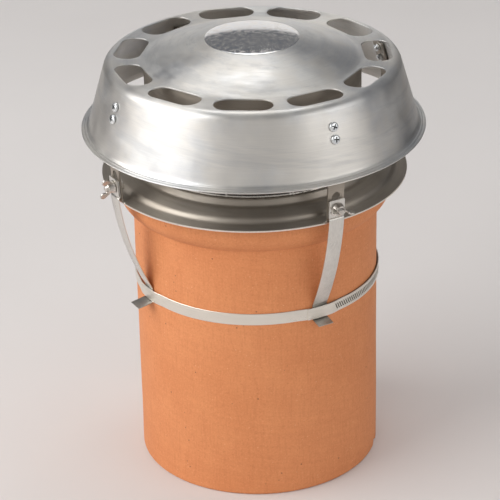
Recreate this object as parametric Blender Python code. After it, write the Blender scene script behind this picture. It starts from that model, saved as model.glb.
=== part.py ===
"""Terracotta chimney pot with a spun metal wind-proof cowl strapped on its head.

Metres, +Z up. The origin is the centre of the pot's foot, on the surface that it stands on.
Azimuths are degrees from the front (-Y) towards the right (+X).
"""

import math

import bmesh
import bpy
from mathutils import Matrix, Vector

# General
GAP = 0.0003  # between pieces that touch
DRILL_REACH = 0.006  # of a hole's cutter behind a sheet's face, and half of it before the face
RING = 36  # segments of the large turned pieces
COWL_RING = 44  # segments of the cowl, a multiple of its eleven slots and of four

# Terracotta pot
POT_RADIUS = 0.120
POT_WALL = 0.018
POT_HEIGHT = 0.3137
FOOT_ROUND = 0.0025
HEAD_PROJECTION = 0.0145
HEAD_HEIGHT = 0.0437
HEAD_SPLAY = math.radians(66)  # lean of the head's underside where it leaves the wall
HEAD_ROUND = 0.0135
MOUTH_ROUND = 0.003

# Base plate, one sheet with four upstanding arms
PLATE_SHEET = 0.0015
SPIGOT_CLEARANCE = 0.004
SPIGOT_LENGTH = 0.040
SPIGOT_ROUND = 0.003
SEAT_INSET = 0.0020  # from the start of the head's rounding in to the foot of the plate's inner ring
SEAT_WIDTH = 0.0045  # flat that bears on the pot
RING_WALL = 0.0025  # run of the inner ring's steep wall
RING_RISE = 0.0070
RIM_OVERHANG = 0.0145
RIM_DROP = 0.0105  # from the seat to the rim
BRIM_WIDTH = 0.0115
BRIM_FALL = 0.0017
BRIM_STEP = 0.0043  # height of the small step between slope and brim
BRIM_STEP_RUN = 0.0025
RIM_HEM = 0.0019
ARM_WIDTH = 0.0175
ARM_SHEET = 0.0015
ARM_OFFSET = 0.0008  # the arm's face outside the plate's rim
ARM_BEND = 0.062  # height of the arm's bend above the plate's rim
ARM_SKIRT_GAP = 0.0010  # a flat arm behind a round skirt
ARM_OVERLAP = 0.0393  # length of the arm along the skirt's inside
SPARE_HOLE_RADIUS = 0.00425
SPARE_HOLE_LIFT = 0.0115  # above the clamp bolt
CORNERS = {"front_right": 29.5, "back_right": 119.5, "back_left": 209.5, "front_left": 299.5}

# Drum and bird guard
DRUM_RADIUS = 0.1045
DRUM_SHEET = 0.0010
DRUM_LENGTH = 0.0680
GUARD_INSET = 0.0003  # of the lower ring's wire inside the top of the plate's inner ring
GUARD_LAP = 0.0060  # of the guard's upper ring above the drum's foot
WIRE_RADIUS = 0.0012
WIRE_SIDES = 4
GUARD_WIRES = 12
GUARD_START = -13.5
LAP_WIRE_GAP = 0.0006  # between the two uprights where the guard's ends lap

# Cowl
COWL_SHEET = 0.0015
COWL_LIFT = 0.0455  # the cowl's rim above the plate's rim
COWL_HEIGHT = 0.0685  # rim to slotted ring
SKIRT_SPREAD = 0.0107  # the skirt's foot outside the plate's rim
LIP_HEIGHT = 0.0047
LIP_FLARE = 0.0071
SHOULDER_ROUND = 0.0095
SHOULDER_MARGIN = 0.0084  # from the slots to the unrounded shoulder
DOME_INSET = 0.0015  # from the drum to the dome's foot
DOME_RISE = 0.0242
SLOTS = 11
SLOT_START = -4.3
SLOT_LENGTH = 0.055
SLOT_WIDTH = 0.0265
SLOT_CORNER = 0.0125
SLOT_MARGIN = 0.0020  # from the drum to the slots

# Screws and nuts that hold the cowl to the arms
SCREW_RADIUS = 0.0020
SCREW_HEAD_RADIUS = 0.0045
SCREW_HEAD_HEIGHT = 0.0026
SCREW_CLEARANCE = 0.0004
SCREW_SPACING = 0.0118
SCREW_FROM_BEND = 0.0215  # the lower screw above the arm's bend, along the skirt
NUT_RADIUS = 0.0040
NUT_HEIGHT = 0.0030
SCREW_END = 0.0010  # thread left beyond a nut

# Clamps
BOLT_LIFT = 0.0145  # above the plate's rim, along the arm
BOLT_RADIUS = 0.0030
BOLT_CLEARANCE = 0.0004
BOLT_HEAD_RADIUS = 0.0056
BOLT_HEAD_HEIGHT = 0.0040
BOLT_END = 0.0020
CLAMP_WIDTH = 0.0165
CLAMP_HEIGHT = 0.0180
CLAMP_SHEET = 0.0012
HUB_RADIUS = 0.0062
HUB_TIP_RADIUS = 0.0048
HUB_HEIGHT = 0.0070
WING_SPAN = 0.0260
WING_HEIGHT = 0.0130
WING_TIP_RADIUS = 0.0036
WING_SHEET = 0.0020
WING_TURNS = {"front_right": 78.0, "back_right": 35.0, "back_left": 80.0, "front_left": -24.0}

# Straps and band
STRAP_WIDTH = 0.0160
STRAP_SHEET = 0.0010
STRAP_JOGGLE = 0.0020
STRAP_LAND = 0.0015  # flat on the pot above the band
STRAP_BOW = 0.0050  # of the sprung strap outside a straight line
BOW_STEPS = 4
STRAP_TOP_INSET = 0.0015  # the strap's end below the clamp's upper edge
TAB_DROOP = math.radians(10)
TAB_LENGTHS = {"front_right": 0.0125, "back_right": 0.0140, "back_left": 0.0140, "front_left": 0.0165}
BAND_HEIGHT = 0.1973  # centre of the band
BAND_WIDTH = 0.0120
BAND_SHEET = 0.0008
BAND_STEPS = 72
BAND_RAMP = 5.0  # degrees in which the band climbs over a strap
TAIL_START = 23.0
TAIL_END = 150.0
HOUSING_AZIMUTH = 140.0
HOUSING_LENGTH = 0.0180
HOUSING_WIDTH = 0.0150
HOUSING_HEIGHT = 0.0090
HOUSING_WALL = 0.0012
WORM_HEAD_RADIUS = 0.0042
WORM_HEAD_LENGTH = 0.0045

# Places worked out from the sizes above
HEAD_RADIUS = POT_RADIUS + HEAD_PROJECTION
BORE_RADIUS = POT_RADIUS - POT_WALL
SEAT_TOP = POT_HEIGHT + GAP + PLATE_SHEET
SEAT_RADIUS = HEAD_RADIUS - HEAD_ROUND - SEAT_INSET
RING_TOP = SEAT_TOP + RING_RISE
RIM_RADIUS = HEAD_RADIUS + RIM_OVERHANG
RIM_TOP = SEAT_TOP - RIM_DROP
COWL_FOOT = RIM_TOP + COWL_LIFT
COWL_TOP = COWL_FOOT + COWL_HEIGHT
SLOT_INNER = DRUM_RADIUS + SLOT_MARGIN
SLOT_OUTER = SLOT_INNER + SLOT_WIDTH
SHOULDER_RADIUS = SLOT_OUTER + SHOULDER_MARGIN
SKIRT_FOOT_RADIUS = RIM_RADIUS + SKIRT_SPREAD
SKIRT_FOOT_Z = COWL_FOOT + LIP_HEIGHT
SKIRT_LEAN = math.atan2(SKIRT_FOOT_RADIUS - SHOULDER_RADIUS, COWL_TOP - SKIRT_FOOT_Z)
WORM_RADIUS = HOUSING_HEIGHT / 2 - HOUSING_WALL - GAP
STRAP_FACE = GAP + STRAP_SHEET  # outside the arm's face, as is the next one
CLAMP_FACE = STRAP_FACE + GAP + CLAMP_SHEET


def clear_scene():
    for obj in list(bpy.data.objects):
        bpy.data.objects.remove(obj, do_unlink=True)


def make_material(name, colour, roughness, metallic):
    material = bpy.data.materials.new(name)
    material.use_nodes = True
    shader = material.node_tree.nodes["Principled BSDF"]
    shader.inputs["Base Color"].default_value = (*colour, 1.0)
    shader.inputs["Roughness"].default_value = roughness
    shader.inputs["Metallic"].default_value = metallic
    return material


def add_object(name, bm, material, smooth_angle=35):
    """Turn a bmesh into a named object with its faces pointing out."""
    bmesh.ops.recalc_face_normals(bm, faces=bm.faces)
    mesh = bpy.data.meshes.new(name)
    bm.to_mesh(mesh)
    bm.free()
    if material:
        mesh.materials.append(material)
    mesh.shade_smooth()
    mesh.set_sharp_from_angle(angle=math.radians(smooth_angle))
    obj = bpy.data.objects.new(name, mesh)
    bpy.context.scene.collection.objects.link(obj)
    return obj


def combine(obj, tool_bm, operation):
    """Apply a live Boolean with a hidden tool made from a bmesh of closed shells."""
    tool = add_object(f"{obj.name}_{operation.lower()}_tool", tool_bm, None)
    tool.hide_render = True
    tool.display_type = "WIRE"
    modifier = obj.modifiers.new(operation.title(), "BOOLEAN")
    modifier.operation = operation
    modifier.object = tool
    modifier.solver = "EXACT"


def arc(centre_r, centre_z, radius, start, end, steps):
    """Points of a profile's round stretch, angles in degrees from +R towards +Z."""
    points = []
    for i in range(steps + 1):
        angle = math.radians(start + (end - start) * i / steps)
        points.append((centre_r + radius * math.cos(angle), centre_z + radius * math.sin(angle)))
    return points


def turn(bm, profile, segments):
    """Turn a profile of (radius, height) about Z, closed by points on the axis or else on itself."""
    rings = []
    for r, z in profile:
        if r < 1e-6:
            rings.append([bm.verts.new((0.0, 0.0, z))])
            continue
        ring = []
        for i in range(segments):
            angle = math.tau * i / segments
            ring.append(bm.verts.new((r * math.sin(angle), -r * math.cos(angle), z)))
        rings.append(ring)
    closed = profile[0][0] > 1e-6
    pairs = list(zip(rings, rings[1:])) + ([(rings[-1], rings[0])] if closed else [])
    for low, high in pairs:
        for i in range(segments):
            j = (i + 1) % segments
            corners = [low[i % len(low)], low[j % len(low)], high[j % len(high)], high[i % len(high)]]
            bm.faces.new(list(dict.fromkeys(corners)))


def prism(bm, outline, axis_from, axis_to, matrix=Matrix.Identity(4)):
    """Extrude a flat outline of (x, z) along y from one plane to another, then place it."""
    ends = []
    for y in (axis_from, axis_to):
        ends.append([bm.verts.new(matrix @ Vector((x, y, z))) for x, z in outline])
    bm.faces.new(ends[0])
    bm.faces.new(list(reversed(ends[1])))
    for i in range(len(outline)):
        j = (i + 1) % len(outline)
        bm.faces.new((ends[0][i], ends[0][j], ends[1][j], ends[1][i]))


def sheet_outline(path, thickness):
    """Outline of a bent sheet, seen from its edge, about its centre line."""
    left, right = [], []
    for i, point in enumerate(path):
        before = path[max(i - 1, 0)]
        after = path[min(i + 1, len(path) - 1)]
        into = Vector((point[0] - before[0], point[1] - before[1]))
        out = Vector((after[0] - point[0], after[1] - point[1]))
        into = (into if into.length else out).normalized()
        out = (out if out.length else into).normalized()
        normal = Vector((-(into + out).y, (into + out).x)).normalized()
        mitre = thickness / 2 / max(normal.dot(Vector((-out.y, out.x))), 0.3)
        left.append((point[0] + normal.x * mitre, point[1] + normal.y * mitre))
        right.append((point[0] - normal.x * mitre, point[1] - normal.y * mitre))
    return left + right[::-1]


def at_azimuth(azimuth):
    """Matrix that turns a shape made along +X, outward, to an azimuth."""
    return Matrix.Rotation(math.radians(azimuth - 90), 4, "Z")


def outward_axis(azimuth, radius, height, tilt=0.0):
    """Matrix that lays a shape turned about Z along the outward direction, tilted up by an angle."""
    place = at_azimuth(azimuth) @ Matrix.Translation((radius, 0.0, height))
    return place @ Matrix.Rotation(math.pi / 2 - tilt, 4, "Y")


def skirt_radius(z):
    """Outside radius of the skirt's cone at a height."""
    return SHOULDER_RADIUS + (COWL_TOP - z) * math.tan(SKIRT_LEAN)


def skirt_station(along, inward):
    """Radius and height at a distance up the skirt from the arm's bend, and under its outside."""
    bend_z = RIM_TOP + ARM_BEND
    z = bend_z + along * math.cos(SKIRT_LEAN) - inward * math.sin(SKIRT_LEAN)
    r = skirt_radius(bend_z) - along * math.sin(SKIRT_LEAN) - inward * math.cos(SKIRT_LEAN)
    return r, z


ARM_FOOT = Vector((RIM_RADIUS + ARM_OFFSET, RIM_TOP))
ARM_TOP = Vector(skirt_station(0.0, COWL_SHEET + ARM_SKIRT_GAP))
ARM_LEAN = math.atan2(ARM_TOP.x - ARM_FOOT.x, ARM_TOP.y - ARM_FOOT.y)


def arm_station(along, outward):
    """Radius and height of a point at a distance up an arm from the plate's rim, and outside its face."""
    up = Vector((math.sin(ARM_LEAN), math.cos(ARM_LEAN)))
    out = Vector((math.cos(ARM_LEAN), -math.sin(ARM_LEAN)))
    return tuple(ARM_FOOT + up * along + out * outward)


def on_arm(azimuth, along, outward):
    """Matrix of a fastener's axis that stands out square from an arm's face."""
    radius, height = arm_station(along, outward)
    return outward_axis(azimuth, radius, height, -ARM_LEAN)


def make_pot(material):
    flare_radius = HEAD_PROJECTION / (1 - math.cos(HEAD_SPLAY))
    flare_z = POT_HEIGHT - HEAD_HEIGHT + flare_radius * math.sin(HEAD_SPLAY)
    profile = arc(POT_RADIUS - FOOT_ROUND, FOOT_ROUND, FOOT_ROUND, -90, 0, 2)
    profile += arc(HEAD_RADIUS - flare_radius, flare_z, flare_radius, -math.degrees(HEAD_SPLAY), 0, 3)
    profile += arc(HEAD_RADIUS - HEAD_ROUND, POT_HEIGHT - HEAD_ROUND, HEAD_ROUND, 0, 90, 3)
    profile += arc(BORE_RADIUS + MOUTH_ROUND, POT_HEIGHT - MOUTH_ROUND, MOUTH_ROUND, 90, 180, 1)
    profile += arc(BORE_RADIUS + FOOT_ROUND, FOOT_ROUND, FOOT_ROUND, 180, 270, 1)
    bm = bmesh.new()
    turn(bm, profile, RING)
    return add_object("pot", bm, material)


def plate_face():
    """Upper face of the plate, from the spigot's foot over the inner ring and out to the rim."""
    inside = BORE_RADIUS - SPIGOT_CLEARANCE - PLATE_SHEET
    brim_start = RIM_RADIUS - BRIM_WIDTH
    return [
        (inside, POT_HEIGHT - SPIGOT_LENGTH),
        (inside, RING_TOP - SPIGOT_ROUND),
        (inside + SPIGOT_ROUND, RING_TOP),
        (SEAT_RADIUS - RING_WALL, RING_TOP),
        (SEAT_RADIUS, SEAT_TOP),
        (SEAT_RADIUS + SEAT_WIDTH, SEAT_TOP),
        (brim_start - BRIM_STEP_RUN, RIM_TOP + BRIM_FALL + BRIM_STEP),
        (brim_start, RIM_TOP + BRIM_FALL),
        (RIM_RADIUS, RIM_TOP),
    ]


def arm_path():
    """Centre line of an arm: out of the rim, straight up, then up the skirt's inside."""
    inward = COWL_SHEET + ARM_SKIRT_GAP + ARM_SHEET / 2
    return [
        (RIM_RADIUS - RIM_HEM, RIM_TOP - RIM_HEM / 2),
        arm_station(-RIM_HEM / 2, -ARM_SHEET),
        arm_station(ARM_SHEET, -ARM_SHEET / 2),
        arm_station(ARM_BEND - ARM_SHEET, -ARM_SHEET / 2),
        skirt_station(ARM_SHEET, inward),
        skirt_station(ARM_OVERLAP, inward),
    ]


def make_base_plate(material):
    upper = plate_face()
    lower = sheet_outline(upper, PLATE_SHEET * 2)[len(upper):]
    hem = [(RIM_RADIUS, RIM_TOP - RIM_HEM), (RIM_RADIUS - RIM_HEM, RIM_TOP - RIM_HEM)]
    profile = upper + hem + lower[1:]
    bm = bmesh.new()
    turn(bm, profile, RING)
    plate = add_object("base_plate", bm, material)

    arms = bmesh.new()
    for azimuth in CORNERS.values():
        outline = sheet_outline(arm_path(), ARM_SHEET)
        prism(arms, outline, -ARM_WIDTH / 2, ARM_WIDTH / 2, at_azimuth(azimuth))
    combine(plate, arms, "UNION")

    holes = bmesh.new()
    for azimuth in CORNERS.values():
        drill(holes, on_arm(azimuth, BOLT_LIFT, 0.0), BOLT_RADIUS + BOLT_CLEARANCE)
        drill(holes, on_arm(azimuth, BOLT_LIFT + SPARE_HOLE_LIFT, 0.0), SPARE_HOLE_RADIUS, 10)
        for place in screw_places(azimuth):
            drill(holes, place, SCREW_RADIUS + SCREW_CLEARANCE)
    combine(plate, holes, "DIFFERENCE")
    return plate


def drill(bm, place, radius, sides=6):
    """Add a round cutter along a fastener's axis, long enough for the sheets that it goes through."""
    shell = bmesh.new()
    front = DRILL_REACH / 2
    turn(shell, [(0.0, -DRILL_REACH), (radius, -DRILL_REACH), (radius, front), (0.0, front)], sides)
    copy_into(bm, shell, place)


def copy_into(bm, shell, matrix):
    """Move a small shell's faces into a larger bmesh."""
    shell.transform(matrix)
    bmesh.ops.recalc_face_normals(shell, faces=shell.faces)
    twins = {v: bm.verts.new(v.co) for v in shell.verts}
    for face in shell.faces:
        bm.faces.new([twins[v] for v in face.verts])
    shell.free()


def screw_places(azimuth):
    """Axes of the lower and upper screw of an arm, at the skirt's outside face."""
    places = []
    for along in (SCREW_FROM_BEND, SCREW_FROM_BEND + SCREW_SPACING):
        r, z = skirt_station(along, 0.0)
        places.append(outward_axis(azimuth, r, z, SKIRT_LEAN))
    return places


def make_drum(material):
    top = COWL_TOP - COWL_SHEET - GAP
    foot = top - DRUM_LENGTH
    inner = DRUM_RADIUS - DRUM_SHEET
    bm = bmesh.new()
    turn(bm, [(inner, foot), (DRUM_RADIUS, foot), (DRUM_RADIUS, top), (inner, top)], RING)
    return add_object("wind_drum", bm, material)


def make_bird_guard(material):
    """Two wire rings joined by posts, from the plate's inner ring to the drum's foot."""
    top_radius = DRUM_RADIUS + GAP + WIRE_RADIUS
    foot_radius = SEAT_RADIUS - RING_WALL - GUARD_INSET - WIRE_RADIUS
    foot = RING_TOP + GAP + WIRE_RADIUS
    top = COWL_TOP - COWL_SHEET - GAP - DRUM_LENGTH + GUARD_LAP
    bm = bmesh.new()
    turn(bm, wire_section(foot_radius, foot), RING)
    guard = add_object("bird_guard", bm, material)

    rest = bmesh.new()
    turn(rest, wire_section(top_radius, top), RING)
    combine(guard, rest, "UNION")

    posts = bmesh.new()
    lean = math.atan2(top_radius - foot_radius, top - foot)
    length = math.hypot(top_radius - foot_radius, top - foot) + WIRE_RADIUS * 2
    azimuths = [GUARD_START + 360 * i / GUARD_WIRES for i in range(GUARD_WIRES)]
    azimuths.append(azimuths[1] + math.degrees((WIRE_RADIUS * 2 + LAP_WIRE_GAP) / top_radius))
    for azimuth in azimuths:
        post = bmesh.new()
        turn(post, [(0.0, 0.0), (WIRE_RADIUS, 0.0), (WIRE_RADIUS, length), (0.0, length)], WIRE_SIDES)
        place = at_azimuth(azimuth) @ Matrix.Translation((foot_radius, 0.0, foot))
        copy_into(posts, post, place @ Matrix.Rotation(lean, 4, "Y"))
    combine(guard, posts, "UNION")
    return guard


def wire_section(radius, height):
    """Cross-section of a ring of wire."""
    half_side = 180 / WIRE_SIDES
    return arc(radius, height, WIRE_RADIUS, half_side, 360 - half_side, WIRE_SIDES - 1)


def dome_height(radius):
    """Rise of the domed centre above the slotted ring."""
    foot = DRUM_RADIUS - DOME_INSET
    return DOME_RISE * (1 - (radius / foot) ** 2)


def make_cowl(material):
    foot = DRUM_RADIUS - DOME_INSET
    lean = math.degrees(SKIRT_LEAN)
    turned = 90 - lean
    setback = SHOULDER_ROUND * math.tan(math.radians(turned) / 2)
    dome = [foot * share for share in (0.0, 0.36, 0.7, 1.0)]
    outer = [(r, COWL_TOP + dome_height(r)) for r in dome]
    outer += arc(SHOULDER_RADIUS - setback, COWL_TOP - SHOULDER_ROUND, SHOULDER_ROUND, 90, lean, 3)
    outer += [(SKIRT_FOOT_RADIUS, SKIRT_FOOT_Z)]
    outer += [(SKIRT_FOOT_RADIUS + LIP_FLARE, COWL_FOOT + COWL_SHEET / 2)]
    round_in = SHOULDER_ROUND - COWL_SHEET
    side = COWL_SHEET / math.cos(SKIRT_LEAN)
    inner = [(SKIRT_FOOT_RADIUS + LIP_FLARE, COWL_FOOT)]
    inner += [(SKIRT_FOOT_RADIUS - side, SKIRT_FOOT_Z)]
    inner += arc(SHOULDER_RADIUS - setback, COWL_TOP - SHOULDER_ROUND, round_in, lean, 90, 3)
    inner += [(r, COWL_TOP + dome_height(r) - COWL_SHEET) for r in reversed(dome)]
    bm = bmesh.new()
    turn(bm, outer + inner, COWL_RING)
    cowl = add_object("cowl", bm, material)

    cutters = bmesh.new()
    for i in range(SLOTS):
        slot = bmesh.new()
        prism(slot, slot_outline(), -DOME_RISE, DOME_RISE, Matrix.Rotation(math.pi / 2, 4, "X"))
        azimuth = SLOT_START + 360 * i / SLOTS
        centre = (SLOT_INNER + SLOT_WIDTH / 2, 0.0, COWL_TOP)
        copy_into(cutters, slot, at_azimuth(azimuth) @ Matrix.Translation(centre))
    combine(cowl, cutters, "DIFFERENCE")

    holes = bmesh.new()
    for azimuth in CORNERS.values():
        for place in screw_places(azimuth):
            drill(holes, place, SCREW_RADIUS + SCREW_CLEARANCE)
    combine(cowl, holes, "DIFFERENCE")
    return cowl


def slot_outline():
    """Rounded rectangle, long side tangential, as (radial, tangential) points about its centre."""
    reach_r = SLOT_WIDTH / 2 - SLOT_CORNER
    reach_t = SLOT_LENGTH / 2 - SLOT_CORNER
    corners = [(reach_r, reach_t, 0), (-reach_r, reach_t, 90)]
    corners += [(-reach_r, -reach_t, 180), (reach_r, -reach_t, 270)]
    points = []
    for r, t, start in corners:
        points += arc(r, t, SLOT_CORNER, start, start + 90, 2)
    return points


def make_screw(name, place, material):
    grip = COWL_SHEET + ARM_SKIRT_GAP + ARM_SHEET + GAP + NUT_HEIGHT + SCREW_END
    profile = [(0.0, GAP + SCREW_HEAD_HEIGHT), (SCREW_HEAD_RADIUS, GAP + SCREW_HEAD_HEIGHT / 2)]
    profile += [(SCREW_HEAD_RADIUS, GAP)]
    profile += [(SCREW_RADIUS, GAP), (SCREW_RADIUS, -grip), (0.0, -grip)]
    bm = bmesh.new()
    turn(bm, profile, 6)
    bm.transform(place)
    return add_object(name, bm, material)


def make_nut(name, place, material):
    top = -(COWL_SHEET + ARM_SKIRT_GAP + ARM_SHEET + GAP)
    bore = SCREW_RADIUS + SCREW_CLEARANCE
    profile = [(bore, top - NUT_HEIGHT), (NUT_RADIUS, top - NUT_HEIGHT), (NUT_RADIUS, top), (bore, top)]
    bm = bmesh.new()
    turn(bm, profile, 6)
    bm.transform(place)
    return add_object(name, bm, material, 20)


def make_cowl_fixings(corner, azimuth, material):
    for level, place in zip(("lower", "upper"), screw_places(azimuth)):
        make_screw(f"cowl_screw_{corner}_{level}", place, material)
        make_nut(f"cowl_nut_{corner}_{level}", place, material)


def strap_path(tab_length):
    """Centre line of a strap, from the clamp down to the pot, behind the band and out as a tab."""
    clamped = GAP + STRAP_SHEET / 2
    clamp_foot = BOLT_LIFT - CLAMP_HEIGHT / 2
    on_pot = POT_RADIUS + GAP + STRAP_SHEET / 2
    band_top = BAND_HEIGHT + BAND_WIDTH / 2
    bend = BAND_HEIGHT - BAND_WIDTH / 2 - GAP - STRAP_SHEET
    tab = (on_pot + tab_length * math.cos(TAB_DROOP), bend - tab_length * math.sin(TAB_DROOP))
    joggle = Vector(arm_station(clamp_foot - STRAP_SHEET * 2, clamped + STRAP_JOGGLE))
    chord = Vector((on_pot, band_top + STRAP_LAND)) - joggle
    outward = Vector((-chord.y, chord.x)).normalized()
    path = [
        arm_station(BOLT_LIFT + CLAMP_HEIGHT / 2 - STRAP_TOP_INSET, clamped),
        arm_station(clamp_foot - STRAP_SHEET / 2, clamped),
    ]
    for i in range(BOW_STEPS + 1):
        share = i / BOW_STEPS
        path.append(tuple(joggle + chord * share + outward * STRAP_BOW * 4 * share * (1 - share)))
    return path + [(on_pot, bend), tab]


def make_strap(corner, azimuth, material):
    bm = bmesh.new()
    outline = sheet_outline(strap_path(TAB_LENGTHS[corner]), STRAP_SHEET)
    prism(bm, outline, -STRAP_WIDTH / 2, STRAP_WIDTH / 2, at_azimuth(azimuth))
    strap = add_object(f"strap_{corner}", bm, material, 20)
    hole = bmesh.new()
    drill(hole, on_arm(azimuth, BOLT_LIFT, STRAP_FACE), BOLT_RADIUS + BOLT_CLEARANCE)
    combine(strap, hole, "DIFFERENCE")
    return strap


def make_clamp_plate(corner, azimuth, material):
    low = BOLT_LIFT - CLAMP_HEIGHT / 2
    high = BOLT_LIFT + CLAMP_HEIGHT / 2
    back = CLAMP_FACE - CLAMP_SHEET
    outline = [arm_station(along, out) for along, out in
               ((low, back), (low, CLAMP_FACE), (high, CLAMP_FACE), (high, back))]
    bm = bmesh.new()
    prism(bm, outline, -CLAMP_WIDTH / 2, CLAMP_WIDTH / 2, at_azimuth(azimuth))
    clamp = add_object(f"clamp_plate_{corner}", bm, material, 20)
    hole = bmesh.new()
    drill(hole, on_arm(azimuth, BOLT_LIFT, CLAMP_FACE), BOLT_RADIUS + BOLT_CLEARANCE)
    combine(clamp, hole, "DIFFERENCE")
    return clamp


def make_bolt(corner, azimuth, material):
    """Hexagon-headed bolt through arm, strap and clamp plate, its head inside the arm."""
    head_top = -ARM_SHEET - GAP - CLAMP_FACE
    end = GAP + HUB_HEIGHT + BOLT_END
    profile = [(0.0, head_top - BOLT_HEAD_HEIGHT), (BOLT_HEAD_RADIUS, head_top - BOLT_HEAD_HEIGHT)]
    profile += [(BOLT_HEAD_RADIUS, head_top), (BOLT_RADIUS, head_top), (BOLT_RADIUS, end), (0.0, end)]

    bm = bmesh.new()
    turn(bm, profile, 6)
    bm.transform(on_arm(azimuth, BOLT_LIFT, CLAMP_FACE))
    return add_object(f"clamp_bolt_{corner}", bm, material, 20)


def wing_outline(side):
    """Edge view of one wing, from inside the hub up to a round tip."""
    tip_x = WING_SPAN / 2 - WING_TIP_RADIUS
    tip_z = WING_HEIGHT - WING_TIP_RADIUS
    inside = (HUB_TIP_RADIUS + BOLT_RADIUS) / 2 + BOLT_CLEARANCE
    points = [(inside, HUB_HEIGHT * 0.15), (HUB_RADIUS, HUB_HEIGHT * 0.2)]
    points += arc(tip_x, tip_z, WING_TIP_RADIUS, -45, 150, 4)
    points += [(inside, HUB_HEIGHT * 0.85)]
    return [(side * x, z) for x, z in points]


def make_wing_nut(corner, azimuth, material):
    bore = BOLT_RADIUS + BOLT_CLEARANCE
    bm = bmesh.new()
    turn(bm, [(bore, 0.0), (HUB_RADIUS, 0.0), (HUB_TIP_RADIUS, HUB_HEIGHT), (bore, HUB_HEIGHT)], 8)
    place = on_arm(azimuth, BOLT_LIFT, CLAMP_FACE + GAP)
    place = place @ Matrix.Rotation(math.radians(WING_TURNS[corner]), 4, "Z")
    bm.transform(place)
    nut = add_object(f"wing_nut_{corner}", bm, material)

    wings = bmesh.new()
    for side in (-1, 1):
        wing = bmesh.new()
        prism(wing, wing_outline(side), -WING_SHEET / 2, WING_SHEET / 2)
        copy_into(wings, wing, place)
    combine(nut, wings, "UNION")
    return nut


def strap_lift(azimuth):
    """Share of the way from the pot to a strap's outer corners that the band has climbed."""
    lift = 0.0
    flat = math.degrees(STRAP_WIDTH / 2 / POT_RADIUS) + 360 / BAND_STEPS
    for corner in CORNERS.values():
        away = abs((azimuth - corner + 180) % 360 - 180)
        lift = max(lift, min(1.0, (flat + BAND_RAMP - away) / BAND_RAMP))
    return lift


def band_radii(azimuth):
    """Inner and outer radius of the band, which climbs over the straps and doubles along its tail."""
    chord = 1 / math.cos(math.pi / BAND_STEPS)
    over_strap = math.hypot(POT_RADIUS + GAP + STRAP_SHEET, STRAP_WIDTH / 2) - POT_RADIUS
    inner = (POT_RADIUS + GAP + strap_lift(azimuth) * over_strap) * chord
    doubled = TAIL_START <= azimuth % 360 <= TAIL_END
    return inner, inner + BAND_SHEET * (2 if doubled else 1)


def make_band(material):
    bm = bmesh.new()
    rings = []
    for i in range(BAND_STEPS):
        azimuth = 360 * i / BAND_STEPS
        inner, outer = band_radii(azimuth)
        corners = [(inner, -1), (outer, -1), (outer, 1), (inner, 1)]
        ring = []
        for radius, side in corners:
            x = radius * math.sin(math.radians(azimuth))
            y = -radius * math.cos(math.radians(azimuth))
            ring.append(bm.verts.new((x, y, BAND_HEIGHT + side * BAND_WIDTH / 2)))
        rings.append(ring)
    for here, there in zip(rings, rings[1:] + rings[:1]):
        for k in range(4):
            bm.faces.new((here[k], here[(k + 1) % 4], there[(k + 1) % 4], there[k]))
    return add_object("band", bm, material)


def make_worm_housing(material):
    """Folded housing over the band's tail, open at both ends for the worm."""
    base = band_radii(HOUSING_AZIMUTH)[1] + GAP
    # A straight housing clears a round band by the sagitta of its half length
    sagitta = (HOUSING_LENGTH / 2) ** 2 / (2 * base)
    half_width = HOUSING_WIDTH / 2
    top = base + HOUSING_HEIGHT
    round_in = half_width - HOUSING_WALL
    outer = [(base, -half_width), (top - half_width, -half_width)]
    outer += arc(top - half_width, 0.0, half_width, -90, 90, 6)[1:-1]
    outer += [(top - half_width, half_width), (base, half_width)]
    place = at_azimuth(HOUSING_AZIMUTH) @ Matrix.Translation((0.0, 0.0, BAND_HEIGHT))
    bm = bmesh.new()
    prism(bm, outer, -HOUSING_LENGTH / 2, HOUSING_LENGTH / 2, place)
    housing = add_object("worm_housing", bm, material, 20)

    cutter = bmesh.new()
    bore = [(base + HOUSING_WALL, -round_in), (top - half_width, -round_in)]
    bore += arc(top - half_width, 0.0, round_in, -90, 90, 6)[1:-1]
    bore += [(top - half_width, round_in), (base + HOUSING_WALL, round_in)]
    reach = HOUSING_LENGTH / 2 + sagitta + HOUSING_WALL
    prism(cutter, bore, -reach, reach, place)
    combine(housing, cutter, "DIFFERENCE")
    return housing


def make_worm_screw(material):
    base = band_radii(HOUSING_AZIMUTH)[1] + GAP
    axis_radius = base + HOUSING_WALL + GAP + WORM_RADIUS
    half = HOUSING_LENGTH / 2 - HOUSING_WALL
    head = HOUSING_LENGTH / 2 + GAP
    profile = [(0.0, -half), (WORM_RADIUS, -half), (WORM_RADIUS, head), (WORM_HEAD_RADIUS, head)]
    profile += [(WORM_HEAD_RADIUS, head + WORM_HEAD_LENGTH), (0.0, head + WORM_HEAD_LENGTH)]
    bm = bmesh.new()
    turn(bm, profile, 6)
    along = Matrix.Rotation(math.pi / 2, 4, "X")
    bm.transform(at_azimuth(HOUSING_AZIMUTH) @ Matrix.Translation((axis_radius, 0.0, BAND_HEIGHT)) @ along)
    return add_object("worm_screw", bm, material, 20)


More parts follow.
